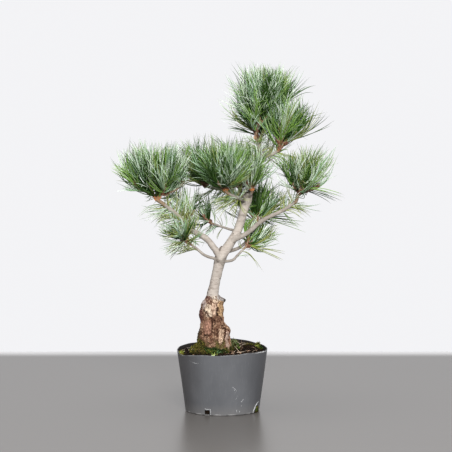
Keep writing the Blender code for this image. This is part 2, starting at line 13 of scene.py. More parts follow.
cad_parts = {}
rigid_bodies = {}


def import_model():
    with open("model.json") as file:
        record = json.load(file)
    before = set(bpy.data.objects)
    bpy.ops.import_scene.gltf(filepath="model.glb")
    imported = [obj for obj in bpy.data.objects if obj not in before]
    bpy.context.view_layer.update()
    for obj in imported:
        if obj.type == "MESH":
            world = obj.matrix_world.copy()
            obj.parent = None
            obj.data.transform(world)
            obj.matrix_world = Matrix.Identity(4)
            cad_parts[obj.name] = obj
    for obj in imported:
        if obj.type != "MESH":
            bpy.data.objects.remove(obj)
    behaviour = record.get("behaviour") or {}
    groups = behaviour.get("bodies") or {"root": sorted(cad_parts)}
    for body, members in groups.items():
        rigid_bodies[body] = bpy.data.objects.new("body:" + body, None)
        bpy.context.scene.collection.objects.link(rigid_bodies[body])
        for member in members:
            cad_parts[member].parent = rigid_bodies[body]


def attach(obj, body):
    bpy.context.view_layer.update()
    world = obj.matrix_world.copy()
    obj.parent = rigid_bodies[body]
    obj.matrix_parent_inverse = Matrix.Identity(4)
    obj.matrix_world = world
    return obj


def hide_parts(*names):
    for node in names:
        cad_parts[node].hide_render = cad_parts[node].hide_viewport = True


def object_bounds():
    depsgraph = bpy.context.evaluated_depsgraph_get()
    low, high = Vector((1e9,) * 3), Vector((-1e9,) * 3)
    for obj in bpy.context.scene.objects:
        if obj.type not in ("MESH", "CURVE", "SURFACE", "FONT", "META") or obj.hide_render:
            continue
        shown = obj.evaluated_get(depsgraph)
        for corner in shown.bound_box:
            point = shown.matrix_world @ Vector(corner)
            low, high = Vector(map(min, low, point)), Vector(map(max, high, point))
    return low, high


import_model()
cad_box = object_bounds()

# Studio. The plant stands on a pale floor under soft light; painted light turns the floor paler towards its far
# edge. The camera looks slightly down on it from straight in front, through a long lens.
CAMERA_PLACE = (0.005, -2.400, 0.400)
CAMERA_TILT_DEG = -3.553
SENSOR_WIDTH_MM = 36.0
FOCAL_MM = 141.6
FLOOR_SIZE = 1.2
FLOOR_COLOUR = (0.095, 0.088, 0.082)
FLOOR_FAR_PAINTED_LIGHT = (0.550, 0.545, 0.540)
FLOOR_PALER_FROM = 0.53
FLOOR_PALER_TO = 0.60
FLOOR_ROUGHNESS = 0.31
FLOOR_SPECULAR = 0.40
SKY_FRONT = (0.50, 0.50, 0.52)
SKY_BACK = (0.90, 0.90, 0.92)
SKY_TURNS_BY = 0.7
LAMPS = {
    "key": ((0.30, -2.45, 1.30), 0.9, 119.0),
    "top": ((-0.2, -0.2, 2.4), 1.4, 30.0),
}
LAMPS_AIM = Vector((0.0, 0.0, 0.25))


def add_node(tree, kind, inputs=(), give=None, **settings):
    """Adds a node to a tree. inputs gives its sockets a value each, or links another node's output. Returns the
    output named by give, or else the first that is in use."""
    made = tree.nodes.new(kind)
    for name, value in settings.items():
        setattr(made, name, value)
    for name, value in dict(inputs).items():
        if isinstance(value, bpy.types.NodeSocket):
            tree.links.new(value, made.inputs[name])
        else:
            made.inputs[name].default_value = value
    return made.outputs[give] if give else next((output for output in made.outputs if output.enabled), None)


def ramp(tree, value, low, high, top=1.0, **settings):
    """0 where a value is at low, top where it is at high, and in between a share of it."""
    return add_node(tree, "ShaderNodeMapRange", {
        "Value": value, "From Min": low, "From Max": high, "To Max": top}, **settings)


def mixed(tree, factor, low, high):
    """A mix of two colours, each a tuple or another node's output."""
    low, high = (c if isinstance(c, bpy.types.NodeSocket) else (*c, 1.0) for c in (low, high))
    return add_node(tree, "ShaderNodeMix", {"Factor": factor, "A": low, "B": high}, data_type="RGBA")


def plain_finish(name, colour, roughness, specular=0.5):
    """A finish of one colour."""
    finish = bpy.data.materials.new(name)
    finish.use_nodes = True
    shader = finish.node_tree.nodes["Principled BSDF"]
    shader.inputs["Base Color"].default_value = (*colour, 1.0)
    shader.inputs["Roughness"].default_value = roughness
    shader.inputs["Specular IOR Level"].default_value = specular
    return finish


def blank_finish(name, colour, roughness, specular):
    """A finish to work on, with its tree and the place on the object."""
    finish = plain_finish(name, colour, roughness, specular)
    return finish, finish.node_tree, add_node(finish.node_tree, "ShaderNodeTexCoord", give="Object")


def lay_on(tree, colour, height=None, strength=0.0, distance=0.0005):
    """Gives a finish a colour, and a bump where a height is given."""
    shader = tree.nodes["Principled BSDF"].inputs
    tree.links.new(colour, shader["Base Color"])
    if height is not None:
        bump = add_node(tree, "ShaderNodeBump", {"Strength": strength, "Distance": distance, "Height": height})
        tree.links.new(bump, shader["Normal"])


def object_of(name, bm, *finishes):
    """Makes an object at the origin from a bmesh, which it frees."""
    mesh = bpy.data.meshes.new(name)
    bm.to_mesh(mesh)
    bm.free()
    for finish in finishes:
        mesh.materials.append(finish)
    made = bpy.data.objects.new(name, mesh)
    bpy.context.scene.collection.objects.link(made)
    return made


camera = bpy.data.objects.new("camera", bpy.data.cameras.new("camera"))
camera.location = CAMERA_PLACE
camera.rotation_euler = (math.radians(90.0 + CAMERA_TILT_DEG), 0.0, 0.0)
camera.data.sensor_width = SENSOR_WIDTH_MM
camera.data.lens = FOCAL_MM
bpy.context.scene.collection.objects.link(camera)
bpy.context.scene.camera = camera

floor_mesh = bmesh.new()
bmesh.ops.create_grid(floor_mesh, x_segments=1, y_segments=1, size=FLOOR_SIZE / 2)
# Painted light: the floor's colour turns paler towards its far edge.
floor_finish, floor_tree, floor_place = blank_finish("floor", FLOOR_COLOUR, FLOOR_ROUGHNESS, FLOOR_SPECULAR)
far = ramp(floor_tree, add_node(floor_tree, "ShaderNodeSeparateXYZ", {"Vector": floor_place}, give="Y"),
           FLOOR_PALER_FROM, FLOOR_PALER_TO, interpolation_type="SMOOTHSTEP")
lay_on(floor_tree, mixed(floor_tree, far, FLOOR_COLOUR, FLOOR_FAR_PAINTED_LIGHT))
floor = object_of("floor", floor_mesh, floor_finish)

for name, (place, size, power) in LAMPS.items():
    lamp = bpy.data.objects.new(name, bpy.data.lights.new(name, "AREA"))
    lamp.data.size = size
    lamp.data.energy = power
    lamp.location = place
    lamp.visible_glossy = False
    lamp.rotation_euler = (LAMPS_AIM - Vector(place)).to_track_quat("-Z", "Y").to_euler()
    bpy.context.scene.collection.objects.link(lamp)

sky = bpy.data.worlds.new("sky")
sky.use_nodes = True
toward = add_node(sky.node_tree, "ShaderNodeTexCoord", give="Generated")
toward = add_node(sky.node_tree, "ShaderNodeSeparateXYZ", {"Vector": toward}, give="Y")
backdrop = mixed(sky.node_tree, ramp(sky.node_tree, toward, 0.0, SKY_TURNS_BY), SKY_FRONT, SKY_BACK)
sky.node_tree.links.new(backdrop, sky.node_tree.nodes["Background"].inputs["Color"])
bpy.context.scene.world = sky
bpy.context.scene.view_settings.view_transform = "Standard"

# Pot. A thin tapered nursery pot of soft grey plastic. Its rim was cut down by hand, a little unevenly, and
# its wall has gone slightly out of round. Four notches in the foot and five holes in the floor drain it.
POT_RIM_HEIGHT = 0.0825
POT_FOOT_RADIUS = 0.050
POT_SLOPE = (0.0612 - POT_FOOT_RADIUS) / POT_RIM_HEIGHT
POT_WALL = 0.0012
POT_FLOOR = 0.0020
POT_BACK_RISE = 0.0045
POT_RIM_WAVE = 0.0005
POT_RIM_BUMPS = ((70.0, 40.0, 0.0030), (-150.0, 24.0, -0.0040), (-42.0, 25.0, 0.0014))
POT_CREASES = ((-34.6, 12.0, 0.0009), (-138.0, 12.0, 0.0007), (-84.0, 16.0, 0.0004), (38.0, 12.0, 0.0008),
               (118.0, 14.0, 0.0006), (178.0, 12.0, 0.0007))
POT_SEGMENTS = 180
POT_ROWS = 22
POT_DENT = 0.00030
POT_PULLED_IN = 0.0004
FOOT_CHAMFER = 0.0012
NOTCH_BEVEL = 0.0006
NOTCH_DEPTH = 0.0040
NOTCHES = ((-113.5, 0.0076, 0.0074, 0.0), (-24.5, 0.0105, 0.0095, -24.0), (66.5, 0.0076, 0.0070, 0.0),
           (156.5, 0.0076, 0.0070, 0.0))
TORN_TURN = -31.0
TORN_WIDTH_DEG = 17.0
DRAIN_COUNT = 5
DRAIN_RADIUS = 0.0040
DRAIN_RING_RADIUS = 0.030
DRAIN_SIDES = 24
UP = Vector((0.0, 0.0, 1.0))


def near_turn(angle, degrees):
    """How far an angle is from one given in degrees, the shorter way round, in degrees."""
    return abs((math.degrees(angle) - degrees + 180.0) % 360.0 - 180.0)


def rim_height(angle):
    """Height of the hand-cut rim at an angle round the pot: highest at the back, lowest at the front left."""
    back = 0.5 + 0.5 * math.sin(angle)
    wave = math.sin(5 * angle + 0.8) + 0.4 * math.sin(13 * angle + 2.0)
    bumps = sum(rise * math.exp(-(near_turn(angle, turn) / width) ** 2) for turn, width, rise in POT_RIM_BUMPS)
    return POT_RIM_HEIGHT + POT_BACK_RISE * back ** 2 + bumps + POT_RIM_WAVE * wave


def wall_point(angle, share, inwards):
    """A point of the wall at a share of its height, inwards from its outer face."""
    height = share * rim_height(angle)
    dent = math.sin(3 * angle + 0.4) + 0.7 * math.sin(7 * angle + 4 * share) + 0.4 * math.sin(12 * angle + 1.0)
    crease = sum(rise * math.exp(-near_turn(angle, turn) / width) for turn, width, rise in POT_CREASES)
    bulge = (POT_DENT * dent + crease - POT_PULLED_IN) * min(1.0, 2 * share)
    radius = POT_FOOT_RADIUS + POT_SLOPE * height + bulge - inwards
    return Vector((radius * math.cos(angle), radius * math.sin(angle), height))


def round_row(radius, height, steps):
    """A level ring of points."""
    turns = [2 * math.pi * i / steps for i in range(steps)]
    return [Vector((radius * math.cos(t), radius * math.sin(t), height)) for t in turns]


def skin(rows, bm=None, closed=True):
    """A skin through rings of points, added to bm or new. A ring of one point closes an end."""
    bm = bm or bmesh.new()
    loops = [[bm.verts.new(point) for point in row] for row in rows]
    made = []
    for lower, upper in zip(loops, loops[1:]):
        for i in range(max(len(lower), len(upper))):
            corners = [lower[i % len(lower)], lower[(i + 1) % len(lower)],
                       upper[(i + 1) % len(upper)], upper[i % len(upper)]]
            made.append(bm.faces.new(dict.fromkeys(corners)))
    for ends in (loops[0], loops[-1]):
        if len(ends) > 2 and closed:
            made.append(bm.faces.new(ends))
    bmesh.ops.recalc_face_normals(bm, faces=made)
    return bm


def step_up(low, high, value):
    """0 below low, 1 above high, and smooth between."""
    share = min(1.0, max(0.0, (value - low) / (high - low)))
    return share * share * (3.0 - 2.0 * share)


def settle(piece):
    """Leaves a plain mesh in place of a piece's modifiers."""
    graph = bpy.context.evaluated_depsgraph_get()
    piece.data = bpy.data.meshes.new_from_object(piece.evaluated_get(graph))
    piece.modifiers.clear()


def cut_away(piece, cutters):
    """Cuts other objects out of a piece and removes them."""
    helpers = bpy.data.collections.new("helpers")
    for cutter in cutters:
        helpers.objects.link(cutter)
    cut = piece.modifiers.new("cut", "BOOLEAN")
    cut.operation = "DIFFERENCE"
    cut.operand_type = "COLLECTION"
    cut.collection = helpers
    settle(piece)
    for cutter in list(helpers.objects):
        bpy.data.objects.remove(cutter)
    bpy.data.collections.remove(helpers)


def smooth(piece, degrees):
    """Smooth shading, kept sharp at edges over an angle."""
    piece.data.shade_smooth()
    piece.data.set_sharp_from_angle(angle=math.radians(degrees))


def maths(tree, operation, first, second):
    """A sum on two values."""
    return add_node(tree, "ShaderNodeMath", {0: first, 1: second}, operation=operation)


def clouds(tree, place, scale, detail=2.0, roughness=0.5):
    """A soft noise."""
    return add_node(tree, "ShaderNodeTexNoise", {
        "Vector": place, "Scale": scale, "Detail": detail, "Roughness": roughness})


def stretched(tree, place, across, upright):
    """A place for a noise that is as fine as across gives it sideways, and as upright gives it in height."""
    return add_node(tree, "ShaderNodeMapping", {"Vector": place, "Scale": (across, across, upright)})


def painted(tree, name, give="Fac"):
    """What is painted on the mesh under a name."""
    return add_node(tree, "ShaderNodeAttribute", give=give, attribute_name=name)


def pot_finish():
    """Matt grey plastic, a little cloudy, pale along the cut rim, with a painted highlight along the foot's edge
    and dust above it, and painted shade on its left and right sides and on its inner wall.
    """
    finish, tree, place = blank_finish("pot_plastic", (0.09, 0.09, 0.095), 0.48, 0.22)
    split = add_node(tree, "ShaderNodeSeparateXYZ", {"Vector": place}).node.outputs
    cloud = clouds(tree, place, 26.0, 4.0)
    streaks = ramp(tree, clouds(tree, stretched(tree, place, 500.0, 40.0), 1.0), 0.55, 0.75, 0.25)
    wear_and_highlight = ramp(tree, clouds(tree, place, 170.0, 3.0), 0.40, 0.66)
    frayed = ramp(tree, clouds(tree, place, 420.0, 3.0), 0.42, 0.55)
    colour = mixed(tree, cloud, (0.072, 0.074, 0.080), (0.122, 0.125, 0.132))
    for cover, tone in (
            (streaks, (0.150, 0.152, 0.158)),
            # Painted shade: the left and right sides are darkened.
            (ramp(tree, split["X"], -0.024, -0.050, 0.55), (0.060, 0.056, 0.056)),
            (ramp(tree, split["X"], 0.030, 0.046, 0.45), (0.054, 0.055, 0.060)),
            (ramp(tree, split["Z"], 0.016, 0.0, 0.45), (0.175, 0.168, 0.160)),
            # A painted highlight, broken into patches, along the foot's edge; the same patches wear the rim pale.
            (maths(tree, "MULTIPLY", ramp(tree, split["Z"], 0.0026, 0.0016), wear_and_highlight), (0.330, 0.325, 0.320)),
            (maths(tree, "MULTIPLY", painted(tree, "rim"), wear_and_highlight), (0.190, 0.195, 0.200)),
            # Painted shade: the inner wall is painted near black.
            (painted(tree, "inside"), (0.020, 0.017, 0.015)),
            (maths(tree, "MULTIPLY", painted(tree, "torn"), frayed), (0.560, 0.560, 0.550))):
        colour = mixed(tree, cover, colour, tone)
    lay_on(tree, colour, clouds(tree, place, 900.0), 0.1, 0.0004)
    rough = add_node(tree, "ShaderNodeMapRange", {"Value": cloud, "To Min": 0.40, "To Max": 0.56})
    tree.links.new(rough, tree.nodes["Principled BSDF"].inputs["Roughness"])
    return finish


turns = [2 * math.pi * i / POT_SEGMENTS for i in range(POT_SEGMENTS)]
first_share = FOOT_CHAMFER / POT_RIM_HEIGHT
shares = [first_share + (1.0 - first_share) * i / POT_ROWS for i in range(POT_ROWS)] + [0.985, 1.0]
pot_rows = [[Vector((0.0, 0.0, 0.0))], round_row(POT_FOOT_RADIUS - FOOT_CHAMFER, 0.0, POT_SEGMENTS)]
pot_rows += [[wall_point(t, share, 0.0) for t in turns] for share in shares]
pot_rows += [[wall_point(t, 1.0, POT_WALL / 2) + UP * POT_WALL / 5 for t in turns]]
pot_rows += [[wall_point(t, share, POT_WALL) for t in turns] for share in reversed(shares[2:])]
pot_rows += [round_row(POT_FOOT_RADIUS - POT_WALL, POT_FLOOR, POT_SEGMENTS), [Vector((0.0, 0.0, POT_FLOOR))]]
pot = object_of("pot_shell", skin(pot_rows), pot_finish())

cutters = []
for degrees, width, height, slant in NOTCHES:
    angle = math.radians(degrees)
    box = bmesh.new()
    bmesh.ops.create_cube(box, size=1.0)
    bmesh.ops.scale(box, vec=(2 * NOTCH_DEPTH, width, 2 * height), verts=box.verts)
    bmesh.ops.bevel(box, geom=box.edges, offset=NOTCH_BEVEL, segments=2, affect="EDGES")
    notch = object_of("notch", box)
    notch.location = (POT_FOOT_RADIUS * math.cos(angle), POT_FOOT_RADIUS * math.sin(angle), 0.0)
    notch.rotation_euler = (math.radians(slant), 0.0, angle)
    cutters.append(notch)
for i in range(DRAIN_COUNT):
    angle = 2 * math.pi * i / DRAIN_COUNT
    ends = [round_row(DRAIN_RADIUS, height, DRAIN_SIDES) for height in (-POT_FLOOR, 2 * POT_FLOOR)]
    drain = object_of("drain", skin(ends))
    drain.location = (DRAIN_RING_RADIUS * math.cos(angle), DRAIN_RING_RADIUS * math.sin(angle), 0.0)
    cutters.append(drain)
cut_away(pot, cutters)
smooth(pot, 35.0)
corners = [(math.atan2(v.co.y, v.co.x), v.co.z) for v in pot.data.vertices]
rims = [step_up(-0.0012, -0.0002, z - rim_height(angle)) for angle, z in corners]
torn = [rim * step_up(0.45, 0.9, math.exp(-(near_turn(angle, TORN_TURN) / TORN_WIDTH_DEG) ** 2))
        for rim, (angle, _) in zip(rims, corners)]
# Marks the wall's inner face, which the finish paints near black as painted shade.
within = []
for vert in pot.data.vertices:
    angle = math.atan2(vert.co.y, vert.co.x)
    outer = wall_point(angle, min(1.0, vert.co.z / rim_height(angle)), 0.7 * POT_WALL)
    within.append(float(vert.co.xy.length < outer.xy.length and vert.co.z > 0.5 * POT_FLOOR))
for key, values in (("rim", rims), ("torn", torn), ("inside", within)):
    pot.data.attributes.new(key, "FLOAT", "POINT").data.foreach_set("value", values)
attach(pot, "root")
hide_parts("pot")

# Scuffs and burrs. Pale curls of plastic stand up round the two front notches and along the rim at the right,
# and a few thin scratches cross the wall. A scuff is its radius, how deep it is sunk for each half millimetre of
# radius, and the angles and heights that it runs through.
SCUFF_STEP = 0.0006
SCUFF_GRIT = 0.0005
SCUFF_WANDER = 0.0006
SCUFF_SIDES = 6
CURVE_SHARES = 24
NOISE_SEED = 3
BURRS = 20
BURR_SEED = 9
BURRS_FROM_DEG = -40.0
BURRS_TO_DEG = -16.0
SCUFFS = (
    (0.00036, 0.0003, ((-77.5, 0.0400), (-74.0, 0.0385), (-70.0, 0.0345), (-69.0, 0.0318))),
    (0.00030, 0.0003, ((-75.0, 0.0372), (-72.0, 0.0340), (-70.5, 0.0312))),
    (0.00024, 0.0003, ((-68.0, 0.0275), (-69.5, 0.0232), (-76.0, 0.0185))),
    (0.00034, 0.0003, ((-63.0, 0.0165), (-59.5, 0.0200), (-55.5, 0.0232))),
    (0.00026, 0.0003, ((-60.5, 0.0175), (-58.0, 0.0215), (-55.0, 0.0205))),
    (0.00024, 0.0003, ((-61.0, 0.0120), (-59.0, 0.0150))),
    (0.00024, 0.0003, ((-138.0, 0.0735), (-131.0, 0.0715), (-124.5, 0.0707), (-118.5, 0.0722), (-115.0, 0.0755))),
    (0.00050, 0.0003, ((-67.5, 0.0042), (-67.8, 0.0080))),
    (0.00044, 0.0003, ((-63.2, 0.0034), (-62.8, 0.0070))),
    (0.00040, 0.0003, ((-58.5, 0.0030), (-58.2, 0.0046))),
    (0.00055, 0.0002, ((-119.2, 0.0080), (-117.0, 0.0094), (-114.0, 0.0082), (-111.0, 0.0090), (-107.9, 0.0088))),
    (0.00060, 0.0002, ((-108.6, 0.0088), (-107.6, 0.0060), (-108.4, 0.0034), (-107.7, 0.0010))),
    (0.00095, 0.0001, ((-34.6, 0.0010), (-34.2, 0.0034), (-32.6, 0.0058), (-31.6, 0.0090))),
    (0.00080, 0.0001, ((-32.4, 0.0082), (-28.6, 0.0104), (-26.8, 0.0122), (-22.4, 0.0132), (-20.8, 0.0148))),
    (0.00055, 0.0000, ((-31.6, 0.0050), (-29.8, 0.0086), (-30.4, 0.0112))),
)


def curve_through(points, step):
    """Even stations on a smooth curve through points, whose first three numbers are x, y and z."""
    ends = [2 * points[0] - points[1]] + list(points) + [2 * points[-1] - points[-2]]
    dense = []
    for before, start, end, after in zip(ends, ends[1:], ends[2:], ends[3:]):
        for share in (i / CURVE_SHARES for i in range(CURVE_SHARES)):
            dense.append(0.5 * (2 * start + (end - before) * share
                                + (2 * before - 5 * start + 4 * end - after) * share ** 2
                                + (3 * start - before - 3 * end + after) * share ** 3))
    dense.append(points[-1])
    lengths = [0.0]
    for start, end in zip(dense, dense[1:]):
        lengths.append(lengths[-1] + (Vector(end[:3]) - Vector(start[:3])).length)
    count = max(2, round(lengths[-1] / step))
    stations, at = [], 0
    for i in range(count + 1):
        goal = lengths[-1] * i / count
        while at < len(lengths) - 2 and lengths[at + 1] < goal:
            at += 1
        share = (goal - lengths[at]) / (lengths[at + 1] - lengths[at])
        stations.append(dense[at].lerp(dense[at + 1], min(share, 1.0)))
    return stations


def rings_along(centres, radii, sides, swell=None):
    """Rings square to a line, with no twist. swell gives the share that a ring grows by, at an angle and a
    height."""
    rings, side = [], Vector((1.0, 0.0, 0.0))
    for i, (centre, radius) in enumerate(zip(centres, radii)):
        ahead = (centres[min(i + 1, len(centres) - 1)] - centres[max(i - 1, 0)]).normalized()
        if abs(side.dot(ahead)) > 0.9:
            side = Vector((0.0, 1.0, 0.0))
        side = (side - ahead * side.dot(ahead)).normalized()
        across = ahead.cross(side)
        ring = []
        for k in range(sides):
            angle = 2 * math.pi * k / sides
            reach = radius * (1.0 + (swell(angle, centre.z) if swell else 0.0))
            ring.append(centre + (side * math.cos(angle) + across * math.sin(angle)) * reach)
        rings.append(ring)
    return rings


def on_wall(degrees, height, inwards):
    """A point of the pot's wall at an angle and a height."""
    angle = math.radians(degrees)
    return wall_point(angle, height / rim_height(angle), inwards)


# Without a seed, noise vectors differ from run to run.
noise.seed_set(NOISE_SEED)
curls = bmesh.new()
for radius, sunk, turns_and_heights in SCUFFS:
    path = [on_wall(turn, height, sunk * radius / SCUFF_GRIT) for turn, height in turns_and_heights]
    line = [p + noise.noise_vector(p * 900.0) * SCUFF_WANDER * min(1.0, radius / SCUFF_GRIT)
            for p in curve_through(path, SCUFF_STEP)]
    taper = [radius * (0.30 + 0.45 * math.sin(math.pi * (i + 0.5) / len(line)) + 0.5 * abs(noise.noise(p * 700.0)))
             for i, p in enumerate(line)]
    skin(rings_along(line, taper, SCUFF_SIDES), curls)
chance = random.Random(BURR_SEED)
for i in range(BURRS):
    angle = math.radians(chance.uniform(BURRS_FROM_DEG, BURRS_TO_DEG))
    foot = wall_point(angle, 1.0, 0.0003)
    across = Vector((-math.sin(angle), math.cos(angle), 0.0))
    line = [foot - UP * 0.0006, foot + UP * chance.uniform(0.0, 0.0005) + across * chance.uniform(-0.0005, 0.0005),
            foot + across * chance.uniform(-0.0016, 0.0016) + UP * chance.uniform(0.0002, 0.0010)
            + Vector((math.cos(angle), math.sin(angle), 0.0)) * chance.uniform(-0.0003, 0.0008)]
    skin(rings_along(line, [0.0004, 0.00035, 0.00012], 5), curls)
burrs = object_of("burrs", curls, plain_finish("bruised_plastic", (0.40, 0.405, 0.41), 0.6, 0.2))
smooth(burrs, 70.0)
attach(burrs, "root")

# Soil. A dark, damp mix of peat, bark crumbs and grit, mounded at the stock's foot and sunk at the wall,
# strewn with loose crumbs, chips of bark and bits of dry straw.
GROUND = 0.0820
SOIL_SEGMENTS = 144
SOIL_RINGS = 60
SOIL_WALL_GAP = 0.0006
SOIL_FLOOR_GAP = 0.0003
SOIL_BELOW_GROUND = 0.0006
SOIL_LUMPS = 0.0011
SOIL_GRIT = 0.0004
SOIL_SINKS_FROM = 0.050
SOIL_SINKS_OVER = 0.009
SOIL_SUNK_BY = 0.0020
SOIL_HEAPS = (
    (Vector((-0.0105, 0.0)), 0.030, 0.0030),
    (Vector((-0.0300, -0.0260)), 0.013, 0.0028),
    (Vector((-0.0520, -0.0290)), 0.013, -0.0045),
    (Vector((-0.0480, 0.0050)), 0.013, -0.0020),
    (Vector((-0.0080, -0.0420)), 0.013, 0.0012),
    (Vector((0.0340, -0.0260)), 0.020, -0.0034),
    (Vector((0.0460, 0.0050)), 0.016, -0.0028),
    (Vector((0.0440, 0.0330)), 0.014, 0.0038),
    (Vector((0.0220, 0.0470)), 0.016, 0.0036),
)
CRUMBS = {
    "soil_crumbs": (2.8e5, 0.0007, 0.0017, 0.8, (0.006, 0.004, 0.003), 11),
    "bark_crumbs": (0.6e5, 0.0010, 0.0030, 0.6, (0.022, 0.012, 0.007), 12),
    "pale_chips": (0.45e4, 0.0018, 0.0056, 0.35, (0.300, 0.195, 0.130), 13),
}
CRUMB_DARK = 0.4
CRUMB_BRIGHT = 1.5
CRUMB_RAGGED = 0.0016
STRAWS = 90
STRAW_SEED = 21
STRAWS_WITHIN = 0.054
STRAW_ENDS_WITHIN = 0.056
LONG_STRAWS = (
    (-0.0485, 0.0200, -0.0390, -0.0180, 0.0040), (-0.0520, -0.0130, -0.0475, -0.0330, 0.0015),
    (-0.0560, 0.0000, -0.0480, -0.0060, 0.0020), (0.0235, 0.0150, 0.0320, -0.0200, 0.0050),
    (0.0215, 0.0170, 0.0260, -0.0120, 0.0060), (0.0130, -0.0040, 0.0135, -0.0300, 0.0030),
    (0.0155, 0.0020, 0.0185, -0.0340, 0.0010), (0.0200, -0.0250, 0.0330, -0.0330, 0.0020),
    (0.0410, -0.0100, 0.0440, -0.0200, 0.0040), (-0.0350, -0.0230, -0.0420, -0.0350, 0.0020),
)
STRAW_TINTS = (((0.430, 0.340, 0.250), (0.520, 0.430, 0.330)), ((0.150, 0.090, 0.055), (0.230, 0.150, 0.095)))
NEEDLES_A_BUNDLE = 5
BLADE_TIP = 1.03
BLADE_TAPER = 5.0
OUTER_FACE = 0.4
Tuft = namedtuple("Tuft", "root heading length bow tint")


def soil_height(x, y):
    """Height of the soil's surface, lumpy and a little lower along the wall."""
    height = GROUND - SOIL_BELOW_GROUND
    for centre, width, rise in SOIL_HEAPS:
        height += rise * math.exp(-((Vector((x, y)) - centre).length / width) ** 2)
    place = Vector((x, y, 0.0))
    height += SOIL_LUMPS * noise.fractal(place * 240.0, 1.0, 2.0, 3) + SOIL_GRIT * noise.noise(place * 1100.0)
    away = math.hypot(x, y)
    return height - SOIL_SUNK_BY * max(0.0, (away - SOIL_SINKS_FROM) / SOIL_SINKS_OVER)


def mottled_finish(name, base, low, high, scale, detail, roughness=0.95, specular=0.15, bump=0.0):
    """A finish in patches of two colours, with a bump of the same patches where its strength is given."""
    finish, tree, place = blank_finish(name, base, roughness, specular)
    patches = clouds(tree, place, scale, detail)
    lay_on(tree, mixed(tree, patches, low, high), patches if bump else None, bump)
    return finish


def new_tree(name, **sizes):
    """A tree of geometry nodes with a named input for each size. Returns it with the node that holds them."""
    tree = bpy.data.node_groups.new(name, "GeometryNodeTree")
    tree.interface.new_socket("Geometry", in_out="INPUT", socket_type="NodeSocketGeometry")
    tree.interface.new_socket("Geometry", in_out="OUTPUT", socket_type="NodeSocketGeometry")
    for size, value in sizes.items():
        kind = "NodeSocketInt" if isinstance(value, int) else "NodeSocketFloat"
        tree.interface.new_socket(size, in_out="INPUT", socket_type=kind).default_value = value
    return tree, tree.nodes.new("NodeGroupInput").outputs


def grow(tree, source, **sizes):
    """Runs a tree on an object, with some of its sizes set, and leaves a plain mesh."""
    modifier = source.modifiers.new(tree.name, "NODES")
    modifier.node_group = tree
    for item in tree.interface.items_tree:
        if item.name in sizes:
            modifier[item.identifier] = sizes[item.name]
    settle(source)
    for name in [each.name for each in source.data.attributes if not each.is_required]:
        if name in Tuft._fields + ("along", "outer", "wave"):
            source.data.attributes.remove(source.data.attributes[name])
    return source


def stored(tree, geometry, name, value, kind="FLOAT_VECTOR", domain="POINT"):
    """A geometry that carries a value under a name."""
    return add_node(tree, "GeometryNodeStoreNamedAttribute", {"Geometry": geometry, "Name": name, "Value": value},
                    data_type=kind, domain=domain)


def carried(tree, name, kind="FLOAT_VECTOR"):
    """What the geometry carries under a name."""
    return add_node(tree, "GeometryNodeInputNamedAttribute", {"Name": name}, data_type=kind)


def drawn(tree, low, high, seed, kind="FLOAT"):
    """A number or a vector drawn at random between two."""
    return add_node(tree, "FunctionNodeRandomValue", {"Min": low, "Max": high, "Seed": seed}, data_type=kind)


def vector_maths(tree, operation, first, second):
    """A sum on two vectors."""
    return add_node(tree, "ShaderNodeVectorMath", {0: first, 1: second}, operation=operation)


def scaled(tree, vector, size):
    """A vector made longer or shorter."""
    return add_node(tree, "ShaderNodeVectorMath", {0: vector, "Scale": size}, operation="SCALE")


def swing(tree, reach, seed):
    """A vector drawn at random, within a reach each way."""
    low, high = (scaled(tree, (side, side, side), reach) for side in (-1.0, 1.0))
    return drawn(tree, low, high, seed, "FLOAT_VECTOR")


def turned(tree, rotation, axis, angle):
    """A rotation turned further about an axis of its own."""
    turn = add_node(tree, "FunctionNodeAxisAngleToRotation", {"Axis": axis, "Angle": angle})
    return add_node(tree, "FunctionNodeRotateRotation", {"Rotation": rotation, "Rotate By": turn},
                    rotation_space="LOCAL")


def planted(tree, points, instance, rotation, scale):
    """An instance at each point, made real."""
    placed = add_node(tree, "GeometryNodeInstanceOnPoints", {
        "Points": points, "Instance": instance, "Rotation": rotation, "Scale": scale})
    return add_node(tree, "GeometryNodeRealizeInstances", {"Geometry": placed})


def crumb_tree(name, finish):
    """Strews angular crumbs over a surface, each turned and sized at random."""
    tree, given = new_tree(name, Density=1.0e5, Smallest=0.001, Largest=0.002, Flatness=1.0, Seed=0)
    crumb = add_node(tree, "GeometryNodeMeshIcoSphere", {"Radius": 0.5, "Subdivisions": 1})
    strewn = add_node(tree, "GeometryNodeDistributePointsOnFaces", {
        "Mesh": given["Geometry"], "Density": given["Density"], "Seed": given["Seed"]})
    turn = drawn(tree, (-0.5, -0.5, 0.0), (0.5, 0.5, 6.283), given["Seed"], "FLOAT_VECTOR")
    flat = add_node(tree, "ShaderNodeCombineXYZ", {"X": 0.8, "Y": 1.25, "Z": given["Flatness"]})
    size = scaled(tree, flat, drawn(tree, given["Smallest"], given["Largest"], given["Seed"]))
    rough = add_node(tree, "ShaderNodeTexNoise", {"Scale": 700.0, "Detail": 0.0}, give="Color")
    shift = scaled(tree, vector_maths(tree, "SUBTRACT", rough, (0.5, 0.5, 0.5)), CRUMB_RAGGED)
    shaped = add_node(tree, "GeometryNodeSetPosition", {
        "Geometry": planted(tree, strewn, crumb, turn, size), "Offset": shift})
    finished = add_node(tree, "GeometryNodeSetMaterial", {"Geometry": shaped, "Material": finish})
    add_node(tree, "NodeGroupOutput", {"Geometry": finished})
    return tree


